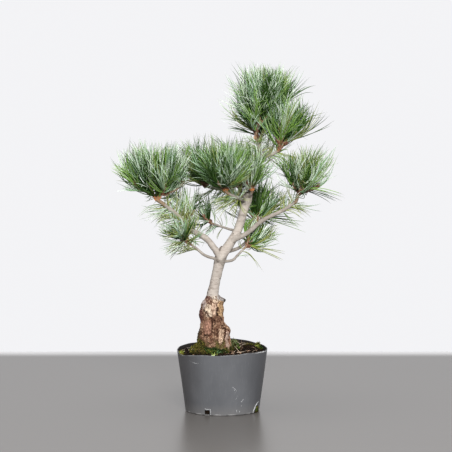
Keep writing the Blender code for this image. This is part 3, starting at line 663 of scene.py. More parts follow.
def blade_of(tree, given):
    """A three-sided blade of unit length, which carries how far along it each point is and which face is outer."""
    along = add_node(tree, "GeometryNodeSplineParameter")
    line = add_node(tree, "GeometryNodeCurvePrimitiveLine", {"Start": (0.0, 0.0, 0.0), "End": (0.0, 0.0, 1.0)})
    stations = add_node(tree, "GeometryNodeResampleCurve", {"Curve": line, "Count": given["Stations"]})
    profile = add_node(tree, "GeometryNodeCurvePrimitiveCircle", {"Resolution": 3, "Radius": given["Width"]})
    blade = add_node(tree, "GeometryNodeCurveToMesh", {
        "Curve": stored(tree, stations, "along", along, "FLOAT"), "Profile Curve": profile, "Fill Caps": True,
        "Scale": maths(tree, "SUBTRACT", BLADE_TIP, maths(tree, "POWER", along, BLADE_TAPER))})
    facing = vector_maths(tree, "DOT_PRODUCT", add_node(tree, "GeometryNodeInputNormal"), (1.0, 0.0, 0.0))
    outer = add_node(tree, "FunctionNodeCompare", {"A": facing, "B": OUTER_FACE}, operation="GREATER_THAN")
    return stored(tree, blade, "outer", outer, "BOOLEAN", "FACE")


def tuft_tree(name, tints, **sizes):
    """Grows a bundle of blades at each point, along its heading. A blade is a three-sided taper that bows, and
    each tint has a finish for its outer face and one for the two inner faces."""
    tree, given = new_tree(name, **sizes)
    waved = stored(tree, given["Geometry"], "wave", swing(tree, given["Wave"], 4))
    bundle = add_node(tree, "GeometryNodeDuplicateElements", {"Geometry": waved, "Amount": given["Blades"]},
                      domain="POINT")
    bow = carried(tree, "bow")
    swayed = stored(tree, bundle, "bow", vector_maths(tree, "ADD", bow, swing(tree, given["Sway"], 3)))

    ahead = add_node(tree, "FunctionNodeAlignRotationToVector", {"Vector": carried(tree, "heading")}, axis="Z")
    step = maths(tree, "MULTIPLY", bundle.node.outputs["Duplicate Index"], 2 * math.pi / NEEDLES_A_BUNDLE)
    spun = turned(tree, ahead, (0.0, 0.0, 1.0), maths(tree, "ADD", step, drawn(tree, -0.5, 0.5, 5)))
    lean = maths(tree, "MULTIPLY", drawn(tree, 0.5, 1.6, 7), given["Lean"])
    leant = turned(tree, spun, (0.0, 1.0, 0.0), lean)
    length = carried(tree, "length", "FLOAT")
    reach = maths(tree, "MULTIPLY", length, drawn(tree, 0.92, 1.02, 9))
    size = add_node(tree, "ShaderNodeCombineXYZ", {"X": 1.0, "Y": 1.0, "Z": reach})
    real = planted(tree, swayed, blade_of(tree, given), leant, size)

    far = carried(tree, "along", "FLOAT")
    squared = maths(tree, "MULTIPLY", far, far)
    bulge = scaled(tree, carried(tree, "wave"), maths(tree, "SUBTRACT", far, squared))
    bent = vector_maths(tree, "ADD", scaled(tree, bow, squared), bulge)
    shown = add_node(tree, "GeometryNodeSetPosition", {"Geometry": real, "Offset": scaled(tree, bent, length)})
    tint, outside = carried(tree, "tint", "INT"), carried(tree, "outer", "BOOLEAN")
    for i, colours in enumerate(tints):
        for side, colour in enumerate(colours):
            finish = plain_finish(f"{name}_{i}_{'inner' if side else 'outer'}", colour, 0.5, 0.4)
            same = add_node(tree, "FunctionNodeCompare", {"A": tint, "B": i}, data_type="INT", operation="EQUAL")
            which = add_node(tree, "FunctionNodeBooleanMath", {0: same, 1: outside},
                             operation="NIMPLY" if side else "AND")
            shown = add_node(tree, "GeometryNodeSetMaterial", {
                "Geometry": shown, "Selection": which, "Material": finish})
    add_node(tree, "NodeGroupOutput", {"Geometry": shown})
    return tree


def tuft_points(name, tufts):
    """An object with a bare point for each tuft, which carries its heading, length, bow and tint."""
    mesh = bpy.data.meshes.new(name)
    mesh.from_pydata([tuft.root for tuft in tufts], [], [])
    for field, kind, key in (("heading", "FLOAT_VECTOR", "vector"), ("length", "FLOAT", "value"),
                             ("bow", "FLOAT_VECTOR", "vector"), ("tint", "INT", "value")):
        values = np.array([getattr(tuft, field) for tuft in tufts]).ravel()
        mesh.attributes.new(field, kind, "POINT").data.foreach_set(key, values)
    made = bpy.data.objects.new(name, mesh)
    bpy.context.scene.collection.objects.link(made)
    return made


def soil_row(share):
    """A ring of the soil's surface, at a share of the way out to the wall."""
    row = []
    for i in range(SOIL_SEGMENTS):
        angle = 2 * math.pi * i / SOIL_SEGMENTS
        away = (wall_point(angle, 0.97, POT_WALL + SOIL_WALL_GAP).xy.length) * share
        x, y = away * math.cos(angle), away * math.sin(angle)
        row.append(Vector((x, y, soil_height(x, y))))
    return row


soil_top = [soil_row(1.0 - i / SOIL_RINGS) for i in range(SOIL_RINGS)]
soil_top += [[Vector((0.0, 0.0, soil_height(0.0, 0.0)))]]
soil_foot = [[Vector((0.0, 0.0, POT_FLOOR + SOIL_FLOOR_GAP))],
             round_row(POT_FOOT_RADIUS - POT_WALL - SOIL_WALL_GAP, POT_FLOOR + SOIL_FLOOR_GAP, SOIL_SEGMENTS)]
peat = mottled_finish("soil", (0.03, 0.02, 0.014), (0.002, 0.0014, 0.001), (0.020, 0.013, 0.008), 380.0, 5.0)
soil = object_of("soil_bed", skin(soil_foot + soil_top), peat)
smooth(soil, 60.0)
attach(soil, "root")
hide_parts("soil")

for name, (density, smallest, largest, flatness, colour, seed) in CRUMBS.items():
    dark, bright = [c * CRUMB_DARK for c in colour], [min(1.0, c * CRUMB_BRIGHT) for c in colour]
    tree = crumb_tree(name, mottled_finish(name, colour, dark, bright, 300.0, 3.0))
    surface = object_of(name, skin(soil_top, closed=False))
    strewn = grow(tree, surface, Density=density, Smallest=smallest, Largest=largest, Flatness=flatness, Seed=seed)
    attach(strewn, "root")

straw_tree = tuft_tree("straw", STRAW_TINTS, Blades=1, Width=0.00034, Stations=7, Lean=0.0, Sway=0.15, Wave=0.2)
chance = random.Random(STRAW_SEED)
tufts = []
for i in range(STRAWS):
    away, turn = STRAWS_WITHIN * math.sqrt(chance.random()), chance.uniform(0.0, 2 * math.pi)
    x, y = away * math.cos(turn), away * math.sin(turn)
    heading = Vector((chance.uniform(-1.0, 1.0), chance.uniform(-1.0, 1.0), chance.uniform(0.05, 0.55)))
    heading.normalize()
    length = chance.uniform(0.006, 0.016)
    if math.hypot(x + heading.x * length, y + heading.y * length) < STRAW_ENDS_WITHIN:
        root = Vector((x, y, soil_height(x, y)))
        tufts.append(Tuft(root, heading, length, UP * -0.25, chance.randrange(len(STRAW_TINTS))))
for x, y, toward_x, toward_y, rise in LONG_STRAWS:
    along = Vector((toward_x - x, toward_y - y, rise))
    root = Vector((x, y, soil_height(x, y) + 0.0020))
    tufts.append(Tuft(root, along.normalized(), along.length, UP * 0.15, 0))
straw = grow(straw_tree, tuft_points("straw", tufts))
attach(straw, "root")

# Moss and weed. Cushions of living moss on the damp soil, mostly round the stock's left foot, where they climb
# a little up its bark, with a bright seedling weed that leans over the front rim.
Clump = namedtuple("Clump", "x y width height tint ground", defaults=(None,))
MOSS_CLUMPS = (
    Clump(-0.0370, -0.0320, 0.0110, 0.0028, "olive"), Clump(-0.0320, -0.0350, 0.0110, 0.0034, "brown"),
    Clump(-0.0345, -0.0235, 0.0120, 0.0055, "olive"), Clump(-0.0270, -0.0310, 0.0110, 0.0050, "olive"),
    Clump(-0.0300, -0.0150, 0.0110, 0.0095, "gold"), Clump(-0.0335, -0.0060, 0.0090, 0.0090, "olive"),
    Clump(-0.0260, -0.0215, 0.0100, 0.0085, "brown"), Clump(-0.0255, -0.0390, 0.0090, 0.0022, "brown"),
    Clump(-0.0390, -0.0160, 0.0080, 0.0040, "gold"), Clump(-0.0205, -0.0340, 0.0110, 0.0055, "deep"),
    Clump(-0.0165, -0.0390, 0.0100, 0.0040, "green"), Clump(-0.0120, -0.0350, 0.0110, 0.0055, "deep"),
    Clump(-0.0100, -0.0430, 0.0080, 0.0030, "green"), Clump(-0.0050, -0.0390, 0.0100, 0.0038, "deep"),
    Clump(0.0005, -0.0340, 0.0110, 0.0040, "deep"), Clump(0.0050, -0.0270, 0.0090, 0.0055, "olive"),
    Clump(0.0142, -0.0010, 0.0095, 0.0125, "leafy"), Clump(0.0165, 0.0080, 0.0090, 0.0110, "leafy"),
    Clump(0.0120, -0.0120, 0.0060, 0.0060, "olive"), Clump(0.0205, 0.0020, 0.0060, 0.0060, "green"),
    Clump(-0.0560, -0.0110, 0.0055, 0.0026, "gold"), Clump(-0.0540, -0.0190, 0.0050, 0.0026, "gold"),
    Clump(-0.0400, 0.0120, 0.0080, 0.0025, "olive"), Clump(0.0390, 0.0330, 0.0070, 0.0016, "olive"),
    Clump(0.0480, 0.0290, 0.0075, 0.0050, "gold"), Clump(0.0515, 0.0225, 0.0060, 0.0034, "green"),
    Clump(0.0330, 0.0360, 0.0080, 0.0016, "brown"), Clump(0.0080, 0.0420, 0.0150, 0.0040, "olive"),
    Clump(-0.0160, 0.0390, 0.0150, 0.0045, "green"), Clump(-0.0340, 0.0330, 0.0110, 0.0030, "olive"),
    Clump(0.0425, -0.0195, 0.0085, 0.0080, "green", 0.0015),
    Clump(0.0450, -0.0165, 0.0065, 0.0062, "gold", 0.0015),
)
MOSS_TINTS = {
    "olive": ((0.060, 0.052, 0.010), (0.150, 0.130, 0.030)),
    "gold": ((0.150, 0.135, 0.022), (0.270, 0.240, 0.055)),
    "green": ((0.045, 0.090, 0.012), (0.110, 0.190, 0.040)),
    "deep": ((0.012, 0.026, 0.005), (0.035, 0.060, 0.014)),
    "brown": ((0.060, 0.038, 0.014), (0.130, 0.090, 0.035)),
    "leafy": ((0.150, 0.190, 0.080), (0.290, 0.350, 0.190)),
}
MOSS_SEED = 31
MOSS_BLADES_A_CM2 = 300
MOSS_BLADE = 0.0024
MOSS_RINGS = 7
MOSS_SIDES = 20
MOSS_LUMPS = 0.55
MOSS_SUNK = 0.0012
MOSS_DEEP_BELOW = -0.18
MOSS_GOLD_ABOVE = 0.24
MOSS_OWN_SHARE = 0.8
FRONT_RIM_Y = -0.05
FRONT_RIM_HEIGHT = 0.0815
WEEDS = (
    ((-0.0120, -0.0565), 5, 0.0030, -0.1, 2), ((-0.0095, -0.0545), 5, 0.0060, 0.6, 0),
    ((-0.0190, -0.0360), 16, 0.0062, 0.7, 1), ((-0.0120, -0.0390), 16, 0.0056, 0.7, 1),
    ((-0.0070, -0.0440), 10, 0.0060, 0.7, 1), ((0.0155, 0.0030), 14, 0.0080, 1.4, 0),
    ((0.0175, 0.0090), 14, 0.0100, 1.4, 3), ((0.0200, 0.0050), 8, 0.0080, 0.9, 0),
    ((0.0480, 0.0260), 6, 0.0040, 0.7, 0), ((-0.0560, -0.0140), 7, 0.0056, 1.0, 0),
    ((-0.0575, -0.0060), 5, 0.0046, 0.8, 0), ((-0.0420, -0.0130), 6, 0.0060, 1.0, 0),
)
WEED_TINTS = (((0.230, 0.290, 0.050), (0.330, 0.390, 0.110)), ((0.060, 0.130, 0.040), (0.150, 0.250, 0.110)),
              ((0.480, 0.580, 0.280), (0.580, 0.680, 0.400)), ((0.180, 0.240, 0.110), (0.300, 0.370, 0.200)))


def lumpy(point, x, y):
    """A point of a clump at x, y, moved in or out for its lumps."""
    return point * (1.0 + MOSS_LUMPS * noise.noise((point + Vector((x, y, 0.0))) * 300.0))


chance = random.Random(MOSS_SEED)
felt = bmesh.new()
tufts = []
for x, y, width, height, tint, given_ground in MOSS_CLUMPS:
    ground = (soil_height(x, y) if given_ground is None else given_ground) - MOSS_SUNK
    place = Vector((x, y, ground))
    rows = []
    for i in range(MOSS_RINGS + 1):
        lift = math.sin(0.5 * math.pi * i / (MOSS_RINGS + 0.4))
        row = round_row(width / 2 * math.sqrt(1.0 - lift * lift), (height + MOSS_SUNK) * lift, MOSS_SIDES)
        rows.append([place + lumpy(p, x, y) for p in row])
    skin(rows + [[Vector((x, y, ground + height + MOSS_SUNK))]], felt)
    for i in range(int(MOSS_BLADES_A_CM2 * math.pi * (width * 50) ** 2)):
        out, turn = math.sqrt(chance.random()) * 0.98, chance.uniform(0.0, 2 * math.pi)
        lift = math.sqrt(1.0 - out * out)
        reach = width / 2 * out
        foot = Vector((reach * math.cos(turn), reach * math.sin(turn), (height + 0.0010) * lift))
        root = lumpy(foot, x, y) + place
        heading = Vector((out * math.cos(turn), out * math.sin(turn), 0.5 + lift))
        heading += Vector(chance.uniform(-0.5, 0.5) for _ in range(3))
        patch = noise.noise(root * 430.0)
        shade = tint
        if patch < MOSS_DEEP_BELOW:
            shade = "olive" if tint == "leafy" else "deep"
        elif patch > MOSS_GOLD_ABOVE and tint != "deep":
            shade = "gold"
        tufts.append(Tuft(root, heading.normalized(), MOSS_BLADE * chance.uniform(0.6, 1.2), UP * 0.1,
                          list(MOSS_TINTS).index(shade if chance.random() < MOSS_OWN_SHARE else tint)))
damp = mottled_finish("moss_felt", (0.06, 0.06, 0.02), (0.003, 0.003, 0.001), (0.035, 0.030, 0.008), 420.0, 4.0)
felt_bed = object_of("moss_felt", felt, damp)
smooth(felt_bed, 80.0)
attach(felt_bed, "root")
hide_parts("moss_front", "moss_front_left", "moss_left", "moss_right", "moss_back")

moss_tree = tuft_tree("moss", MOSS_TINTS.values(), Blades=1, Width=0.00022, Stations=3,
                      Lean=0.0, Sway=0.2, Wave=0.0)
moss = grow(moss_tree, tuft_points("moss_blades", tufts))
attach(moss, "root")

tufts = []
for (x, y), count, length, rise, tint in WEEDS:
    for i in range(count):
        turn = i * 2.4 + chance.uniform(-0.4, 0.4)
        heading = Vector((math.cos(turn), math.sin(turn) - 0.4, rise + chance.uniform(0.0, 0.9))).normalized()
        root = Vector((x + chance.uniform(-0.0025, 0.0025), y + chance.uniform(-0.0015, 0.0015), 0.0))
        root.z = max(soil_height(x, y), FRONT_RIM_HEIGHT if y < FRONT_RIM_Y else 0.0) + 0.0010
        tufts.append(Tuft(root, heading, length * chance.uniform(0.7, 1.1), UP * -0.3, tint))
weed_tree = tuft_tree("weed", WEED_TINTS, Blades=1, Width=0.00055, Stations=5, Lean=0.0, Sway=0.3, Wave=0.3)
weeds = grow(weed_tree, tuft_points("weeds", tufts))
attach(weeds, "root")

# Stock, trunk and boughs. The white pine's smooth pale trunk was grafted on a stock of rough old bark, whose
# own leader was cut off beside the graft. The trunk forks, and was cut back once at a knuckle near the top.
TRUNK_STATIONS = (
    (-0.0105, 0.0000, GROUND, 0.0226),
    (-0.0108, 0.0000, 0.1010, 0.0228),
    (-0.0110, 0.0005, 0.1110, 0.0214),
    (-0.0128, 0.0010, 0.1180, 0.0174),
    (-0.0145, 0.0015, 0.1310, 0.0166),
    (-0.0130, 0.0025, 0.1430, 0.0152),
    (-0.0124, 0.0030, 0.1500, 0.0136),
    (-0.0130, 0.0030, 0.1560, 0.0092),
    (-0.0122, 0.0026, 0.1630, 0.0074),
    (-0.0074, 0.0000, 0.1860, 0.0069),
    (-0.0015, -0.0025, 0.2100, 0.0079),
    (0.0050, -0.0025, 0.2195, 0.0066),
    (0.0185, -0.0010, 0.2405, 0.0060),
    (0.0253, 0.0010, 0.2580, 0.0056),
    (0.0305, 0.0025, 0.2770, 0.0061),
    (0.0342, 0.0030, 0.2880, 0.0066),
    (0.0368, 0.0035, 0.2945, 0.0040),
    (0.0405, 0.0040, 0.3050, 0.0029),
    (0.0515, 0.0055, 0.3400, 0.0025),
    (0.0470, 0.0050, 0.3660, 0.0021),
)
STOCK_TOP = 0.1560
ROOT_FLARE = 0.13
BARK_LUMPS = 0.06
STUMP_FROM = Vector((-0.0070, 0.0000, 0.1400))
STUMP_TO = Vector((-0.0008, -0.0010, 0.1535))
STUMP_RADIUS = 0.0064
Limb = namedtuple("Limb", "parent leaves_at through first_radius last_radius")
LIMBS = {
    "left_bough": Limb(
        "trunk", 0.2090, ((-0.0200, -0.0045, 0.2325), (-0.0420, -0.0065, 0.2465), (-0.0610, -0.0070, 0.2665),
                          (-0.0780, -0.0070, 0.2800)), 0.0048, 0.0026),
    "left_low_branch": Limb(
        "trunk", 0.2050, ((-0.0220, -0.0070, 0.2110), (-0.0370, -0.0115, 0.2232), (-0.0425, -0.0125, 0.2270)),
        0.0022, 0.0017),
    "right_bough": Limb(
        "trunk", 0.2300, ((0.0330, -0.0080, 0.2415), (0.0540, -0.0110, 0.2590), (0.0820, -0.0100, 0.2730),
                          (0.0975, -0.0090, 0.2835)), 0.0036, 0.0023),
    "right_low_branch": Limb(
        "trunk", 0.2035, ((0.0130, -0.0040, 0.2045), (0.0205, -0.0020, 0.2115), (0.0300, 0.0000, 0.2210)),
        0.0020, 0.0016),
    "rear_right_branch": Limb(
        "trunk", 0.2150, ((0.0240, 0.0165, 0.2210), (0.0400, 0.0290, 0.2370), (0.0470, 0.0340, 0.2500)),
        0.0026, 0.0019),
    "left_side_twig": Limb(
        "left_bough", 0.2500, ((-0.0490, 0.0010, 0.2550), (-0.0480, 0.0060, 0.2620)), 0.0018, 0.0015),
    "inner_twig": Limb("trunk", 0.2430, ((0.0060, 0.0120, 0.2470), (-0.0130, 0.0180, 0.2530)), 0.0019, 0.0015),
    "rear_bough": Limb("trunk", 0.2640, ((0.0290, 0.0200, 0.2710), (0.0265, 0.0450, 0.2880)), 0.0029, 0.0021),
    "middle_bough": Limb("trunk", 0.2850, ((0.0200, -0.0190, 0.2900), (0.0080, -0.0290, 0.2965)), 0.0029, 0.0022),
    "heart_twig": Limb("trunk", 0.2880, ((0.0378, -0.0080, 0.2930), (0.0400, -0.0130, 0.2980)), 0.0022, 0.0019),
    "rear_left_bough": Limb(
        "trunk", 0.2880, ((0.0130, 0.0200, 0.2960), (-0.0170, 0.0350, 0.3020)), 0.0029, 0.0020),
    "crown_right_twig": Limb(
        "trunk", 0.3440, ((0.0640, 0.0030, 0.3463), (0.0760, 0.0000, 0.3525)), 0.0022, 0.0018),
    "apex_twig": Limb("trunk", 0.3500, ((0.0610, 0.0130, 0.3610), (0.0680, 0.0170, 0.3880)), 0.0019, 0.0015),
    "crown_rear_twig": Limb(
        "trunk", 0.3560, ((0.0510, 0.0150, 0.3590), (0.0510, 0.0260, 0.3640)), 0.0019, 0.0016),
}
LIMB_SIDES = 20
LIMB_STEP = 0.0025
STOCK_SIDES = 60
STUMP_SIDES = 32
GRAFT_LOW = 0.1440
GRAFT_WIDEST = 0.0098
GRAFT_NARROWED_BY = 0.28
STUB_SIDES = 14
STUB_TAPER = 0.85
STUBS = (
    ((-0.0040, -0.0030, 0.2180), (-0.0008, -0.0070, 0.2242), 0.0017, 1.0),
    ((-0.0040, -0.0040, 0.2040), (-0.0062, -0.0105, 0.2052), 0.0024, 0.45),
    ((0.0330, 0.0000, 0.2880), (0.0268, -0.0030, 0.2935), 0.0022, 1.0),
    ((0.0345, 0.0000, 0.2880), (0.0330, -0.0045, 0.2965), 0.0026, 1.0),
    ((0.0350, 0.0030, 0.2870), (0.0405, -0.0010, 0.2925), 0.0022, 1.0),
)
SCARS = (
    (-0.0034, 0.2192, 0.0018), (-0.0022, 0.2215, 0.0015), (-0.0088, 0.2095, 0.0012), (0.0259, 0.2419, 0.0012),
    (0.0147, 0.2409, 0.0011), (-0.0174, 0.1704, 0.0013), (-0.0188, 0.1647, 0.0015), (-0.0200, 0.1605, 0.0014),
    (-0.0029, 0.1797, 0.0011), (0.0015, 0.1948, 0.0009), (0.0160, 0.2290, 0.0012),
)
SCAR_DARK = 0.8
SCARS_BEFORE_Y = 0.002
DENTS = (
    (0.0070, 0.1185, 0.0060, 0.0024), (0.0030, 0.1265, 0.0050, 0.0014), (0.0125, 0.0970, 0.0085, 0.0026),
    (0.0000, 0.1440, 0.0040, 0.0006),
)
STOCK_VOXEL = 0.00045
TRUNK_VOXEL = 0.00058
PLATE_WIDTH = 0.0062
PLATE_HEIGHT = 0.0150
FISSURE_DEPTH = 0.0017
PLATE_STEP = 0.0009
BARK_GRAIN = 0.00045
WRINKLE_HEIGHT = 0.00010
BUMP_HEIGHT = 0.00042
BARK_BROWN = (0.150, 0.070, 0.042)
BARK_TAN = (0.330, 0.215, 0.140)
BARK_CREAM = (0.370, 0.270, 0.190)
# These two colour the crevices and fissures: dark bark with painted shade in the cracks.
BARK_DARK_AND_SHADE = (0.034, 0.015, 0.009)
FISSURE_SHADE_BLACK = (0.014, 0.006, 0.004)
GRAFT_PALE = (0.430, 0.380, 0.320)
# These two also paint shade on the stock's shaded left edge.
PURPLE_STREAKS_AND_SHADE = (0.090, 0.040, 0.036)
LEFT_EDGE_SHADE_OLIVE = (0.030, 0.030, 0.014)
CUT_GREY = (0.220, 0.200, 0.185)
CUT_PALE = (0.42, 0.39, 0.36)
CUT_BLACK = (0.030, 0.028, 0.026)
FISSURES = (
    (((-0.0249, 0.1394), (-0.0214, 0.1330), (-0.0178, 0.1291)), 0.0009),
    (((-0.0062, 0.1408), (-0.0076, 0.1352), (-0.0055, 0.1302)), 0.0015),
    (((-0.0126, 0.1262), (-0.0128, 0.1240)), 0.0014), (((-0.0108, 0.1235), (-0.0094, 0.1200)), 0.0013),
    (((-0.0294, 0.1402), (-0.0290, 0.1360)), 0.0016), (((-0.0283, 0.1290), (-0.0278, 0.1240)), 0.0018),
    (((0.0000, 0.1190), (0.0008, 0.1160)), 0.0017), (((0.0044, 0.1140), (0.0050, 0.1110)), 0.0017),
    (((-0.0150, 0.1290), (-0.0132, 0.1220), (-0.0133, 0.1160), (-0.0150, 0.1096), (-0.0172, 0.1054),
      (-0.0256, 0.1040)), 0.0012),
    (((-0.0009, 0.1181), (0.0054, 0.1110), (0.0044, 0.1025), (0.0033, 0.0961), (0.0012, 0.0919)), 0.0014),
    (((-0.0060, 0.1130), (-0.0072, 0.1030), (-0.0052, 0.0930)), 0.0012),
    (((0.0024, 0.1225), (0.0060, 0.1180), (0.0100, 0.1150)), 0.0009),
    (((-0.0030, 0.1290), (0.0012, 0.1245), (0.0028, 0.1215)), 0.0008),
)
SLABS = (
    (-0.0246, 0.1460, 0.0032, 0.0062, (0.430, 0.360, 0.335)),
    (-0.0188, 0.1378, 0.0042, 0.0080, (0.520, 0.420, 0.315)),
    (-0.0112, 0.1410, 0.0036, 0.0095, (0.490, 0.350, 0.255)),
    (-0.0012, 0.1400, 0.0042, 0.0110, (0.400, 0.265, 0.145)),
    (-0.0070, 0.1530, 0.0060, 0.0035, (0.460, 0.360, 0.265)),
    (-0.0200, 0.1148, 0.0050, 0.0088, (0.300, 0.165, 0.115)),
    (-0.0008, 0.1030, 0.0038, 0.0092, (0.520, 0.375, 0.265)),
    (0.0078, 0.0975, 0.0022, 0.0125, (0.500, 0.365, 0.290)),
)


def limb_line(name):
    """Centres and radii along the trunk or a limb."""
    if name == "trunk":
        stations = curve_through([Vector(station) for station in TRUNK_STATIONS], LIMB_STEP)
        return [Vector(station[:3]) for station in stations], [station[3] for station in stations]
    limb = LIMBS[name]
    parent_centres, _ = limb_line(limb.parent)
    start = min(parent_centres, key=lambda centre: abs(centre.z - limb.leaves_at)).copy()
    centres = curve_through([start] + [Vector(point) for point in limb.through], LIMB_STEP)
    shares = [i / (len(centres) - 1) for i in range(len(centres))]
    return centres, [limb.first_radius + (limb.last_radius - limb.first_radius) * share for share in shares]


def stock_swell(angle, height):
    """Root flare at the ground and the blocks of old bark, both gone at the graft."""
    share = min(1.0, max(0.0, (STOCK_TOP - height) / (STOCK_TOP - GROUND)))
    flare = ROOT_FLARE * share ** 3 * (0.55 * math.cos(3 * angle + 0.6) + 0.45 * math.cos(5 * angle + 2.1))
    blocks = BARK_LUMPS * min(1.0, 4 * share) * math.sin(4 * angle + 90 * height)
    return flare + blocks * math.cos(3 * angle - 330 * height)


def grown_together(name, tubes, voxel, rounds, finish):
    """Joins overlapping tubes into one skin of small even faces, with its creases smoothed."""
    piece = object_of(name, tubes, finish)
    remesh = piece.modifiers.new("remesh", "REMESH")
    remesh.mode = "VOXEL"
    remesh.voxel_size = voxel
    relax = piece.modifiers.new("relax", "SMOOTH")
    relax.factor = 0.5
    relax.iterations = rounds
    settle(piece)
    return piece


def carve(piece, relief):
    """Moves each point of a skin along its normal. relief gives the shift and the values to paint there."""
    normals = [Vector(normal.vector) for normal in piece.data.vertex_normals]
    layers = {}
    for vert, normal in zip(piece.data.vertices, normals):
        shift, values = relief(vert.co, normal)
        vert.co += normal * shift
        for key, value in values.items():
            layers.setdefault(key, []).append(value)
    for key, values in layers.items():
        if isinstance(values[0], Vector):
            colours = np.array([(*value, 1.0) for value in values]).ravel()
            piece.data.attributes.new(key, "FLOAT_COLOR", "POINT").data.foreach_set("color", colours)
        else:
            piece.data.attributes.new(key, "FLOAT", "POINT").data.foreach_set("value", values)


def off_line(point, line):
    """How far a point of the front is from a line drawn across it."""
    nearest = 1.0
    for start, end in zip(line, line[1:]):
        start, along = Vector(start), Vector(end) - Vector(start)
        share = min(1.0, max(0.0, (point - start).dot(along) / along.length_squared))
        nearest = min(nearest, (start + along * share - point).length)
    return nearest


def noise_at(point, across, upright):
    """A noise that is as fine as across gives it sideways, and as upright gives it in height."""
    return noise.noise(Vector((point.x * across, point.y * across, point.z * upright)))


def stock_relief(point, normal):
    """Upright plates of old bark with ragged fissures between them, and the broad slabs of the front."""
    warp = noise.noise_vector(point * 110.0) * 0.0030 + noise.noise_vector(point * 420.0) * 0.0013
    place = point + warp
    front = step_up(0.0, 0.35, -normal.y)
    fray = noise.noise_vector(point * 700.0) * 0.0015
    spot = Vector((point.x + 0.7 * warp.x + fray.x, point.z + 0.7 * warp.z + fray.z))

    # Plates, with a tone each, and crevices between them, dark bark with painted shade in them.
    cells = Vector((place.x / PLATE_WIDTH, place.y / PLATE_WIDTH, place.z / PLATE_HEIGHT))
    apart, centres = noise.voronoi(cells * (1.0 + 0.85 * (1.0 - step_up(0.098, 0.118, point.z))))
    plate = noise.noise(centres[0] * 3.7)
    deep = 0.55 + 0.45 * noise.noise(point * 170.0)
    crevice = (1.0 - step_up(0.02, 0.20, apart[1] - apart[0])) * deep
    tone = Vector(BARK_BROWN).lerp(Vector(BARK_TAN), step_up(0.25, 0.75, 0.5 + 0.5 * plate))
    tone = tone.lerp(Vector(BARK_CREAM), 0.6 * step_up(0.126, 0.136, point.z))

    # Broad slabs, which are calmer, and the fissures that cross the front.
    calm = 0.0
    for x, z, half_width, half_height, colour in SLABS:
        away = (((spot.x - x) / half_width) ** 4 + ((spot.y - z) / half_height) ** 4) ** 0.25
        within = front * (1.0 - step_up(0.80, 1.20, away))
        tone = tone.lerp(Vector(colour), within)
        calm = max(calm, within)
    crevice *= 1.0 - 0.65 * calm
    drawn_line = 0.0
    for line, width in FISSURES:
        drawn_line = max(drawn_line, front * (1.0 - step_up(0.35 * width, 1.6 * width, off_line(spot, line))))
    drawn_line *= step_up(-0.55, -0.15, noise.noise(point * 330.0))
    flecked = step_up(0.12, 0.34, noise_at(point, 520.0, 260.0)) * (1.0 - 0.5 * calm)
    crevice = max(crevice, drawn_line * (0.90 + 0.35 * noise.noise(point * 480.0)), 0.85 * flecked)
    # Crevices and flecks turn dark brown and the drawn fissures black: dark bark, with painted shade in the cracks.
    tone = tone.lerp(Vector(BARK_DARK_AND_SHADE), crevice).lerp(Vector(FISSURE_SHADE_BLACK), min(1.0, drawn_line) ** 2)

    # Painted shade on the left edge, purple and olive below it; purple streaks by the graft; the pale healed graft.
    shade = step_up(0.0258, 0.0285, -point.x) * step_up(0.117, 0.123, point.z)
    shade *= 1.0 - step_up(0.138, 0.143, point.z)
    tone = tone.lerp(Vector(PURPLE_STREAKS_AND_SHADE), 0.85 * shade)
    shade = step_up(0.0275, 0.0310, -spot.x) * step_up(0.092, 0.097, point.z)
    shade *= 1.0 - step_up(0.110, 0.116, point.z)
    tone = tone.lerp(Vector(LEFT_EDGE_SHADE_OLIVE), 0.9 * shade)
    beside = step_up(0.0140, 0.0170, -spot.x) * step_up(0.1425, 0.1470, point.z) * (1.0 - calm)
    tone = tone.lerp(Vector(PURPLE_STREAKS_AND_SHADE), beside * step_up(-0.20, 0.20, noise_at(point, 800.0, 120.0)))
    ragged = point.z + 0.004 * noise.noise(point * 300.0)
    healed = step_up(0.1505, 0.1560, ragged) * step_up(-0.0175, -0.0150, point.x)
    tone = tone.lerp(Vector(GRAFT_PALE), 0.85 * healed)

    # The grey cut of the stock's own leader, black towards its lower end.
    axis = (STUMP_TO - STUMP_FROM).normalized()
    cut = step_up(-0.0036, -0.0024, (point - STUMP_TO).dot(axis)) * step_up(-0.0085, -0.0055, point.x)
    cut *= step_up(0.1465, 0.1490, point.z)
    grey = Vector(CUT_GREY).lerp(Vector(CUT_PALE), step_up(0.1, 0.4, noise.noise(point * 900.0)))
    grey = grey.lerp(Vector(CUT_BLACK), step_up(0.0010, 0.0030, point.x))
    tone = tone.lerp(grey, cut)

    rough = (1.0 - cut) * (0.15 + 0.85 * (1.0 - step_up(0.1480, 0.1570, point.z))) * (1.0 - 0.4 * calm)
    shift = PLATE_STEP * (0.6 * calm + plate * (1.0 - calm)) - FISSURE_DEPTH * crevice
    shift += BARK_GRAIN * noise.fractal(Vector((point.x * 800.0, point.y * 800.0, point.z * 420.0)), 0.9, 2.0, 3)
    edge = 0.0905 - 0.0060 * step_up(0.0030, 0.0060, point.x) + 0.0060 * step_up(0.0200, 0.0280, -point.x)
    foot = 1.0 - step_up(edge - 0.005, edge + 0.005, point.z + 0.012 * noise.noise(point * 160.0))
    dent = sum(deep * math.exp(-((point.x - x) ** 2 + (point.z - z) ** 2) / width ** 2)
               for x, z, width, deep in DENTS)
    return shift * rough - dent, {"foot": foot, "tone": tone}


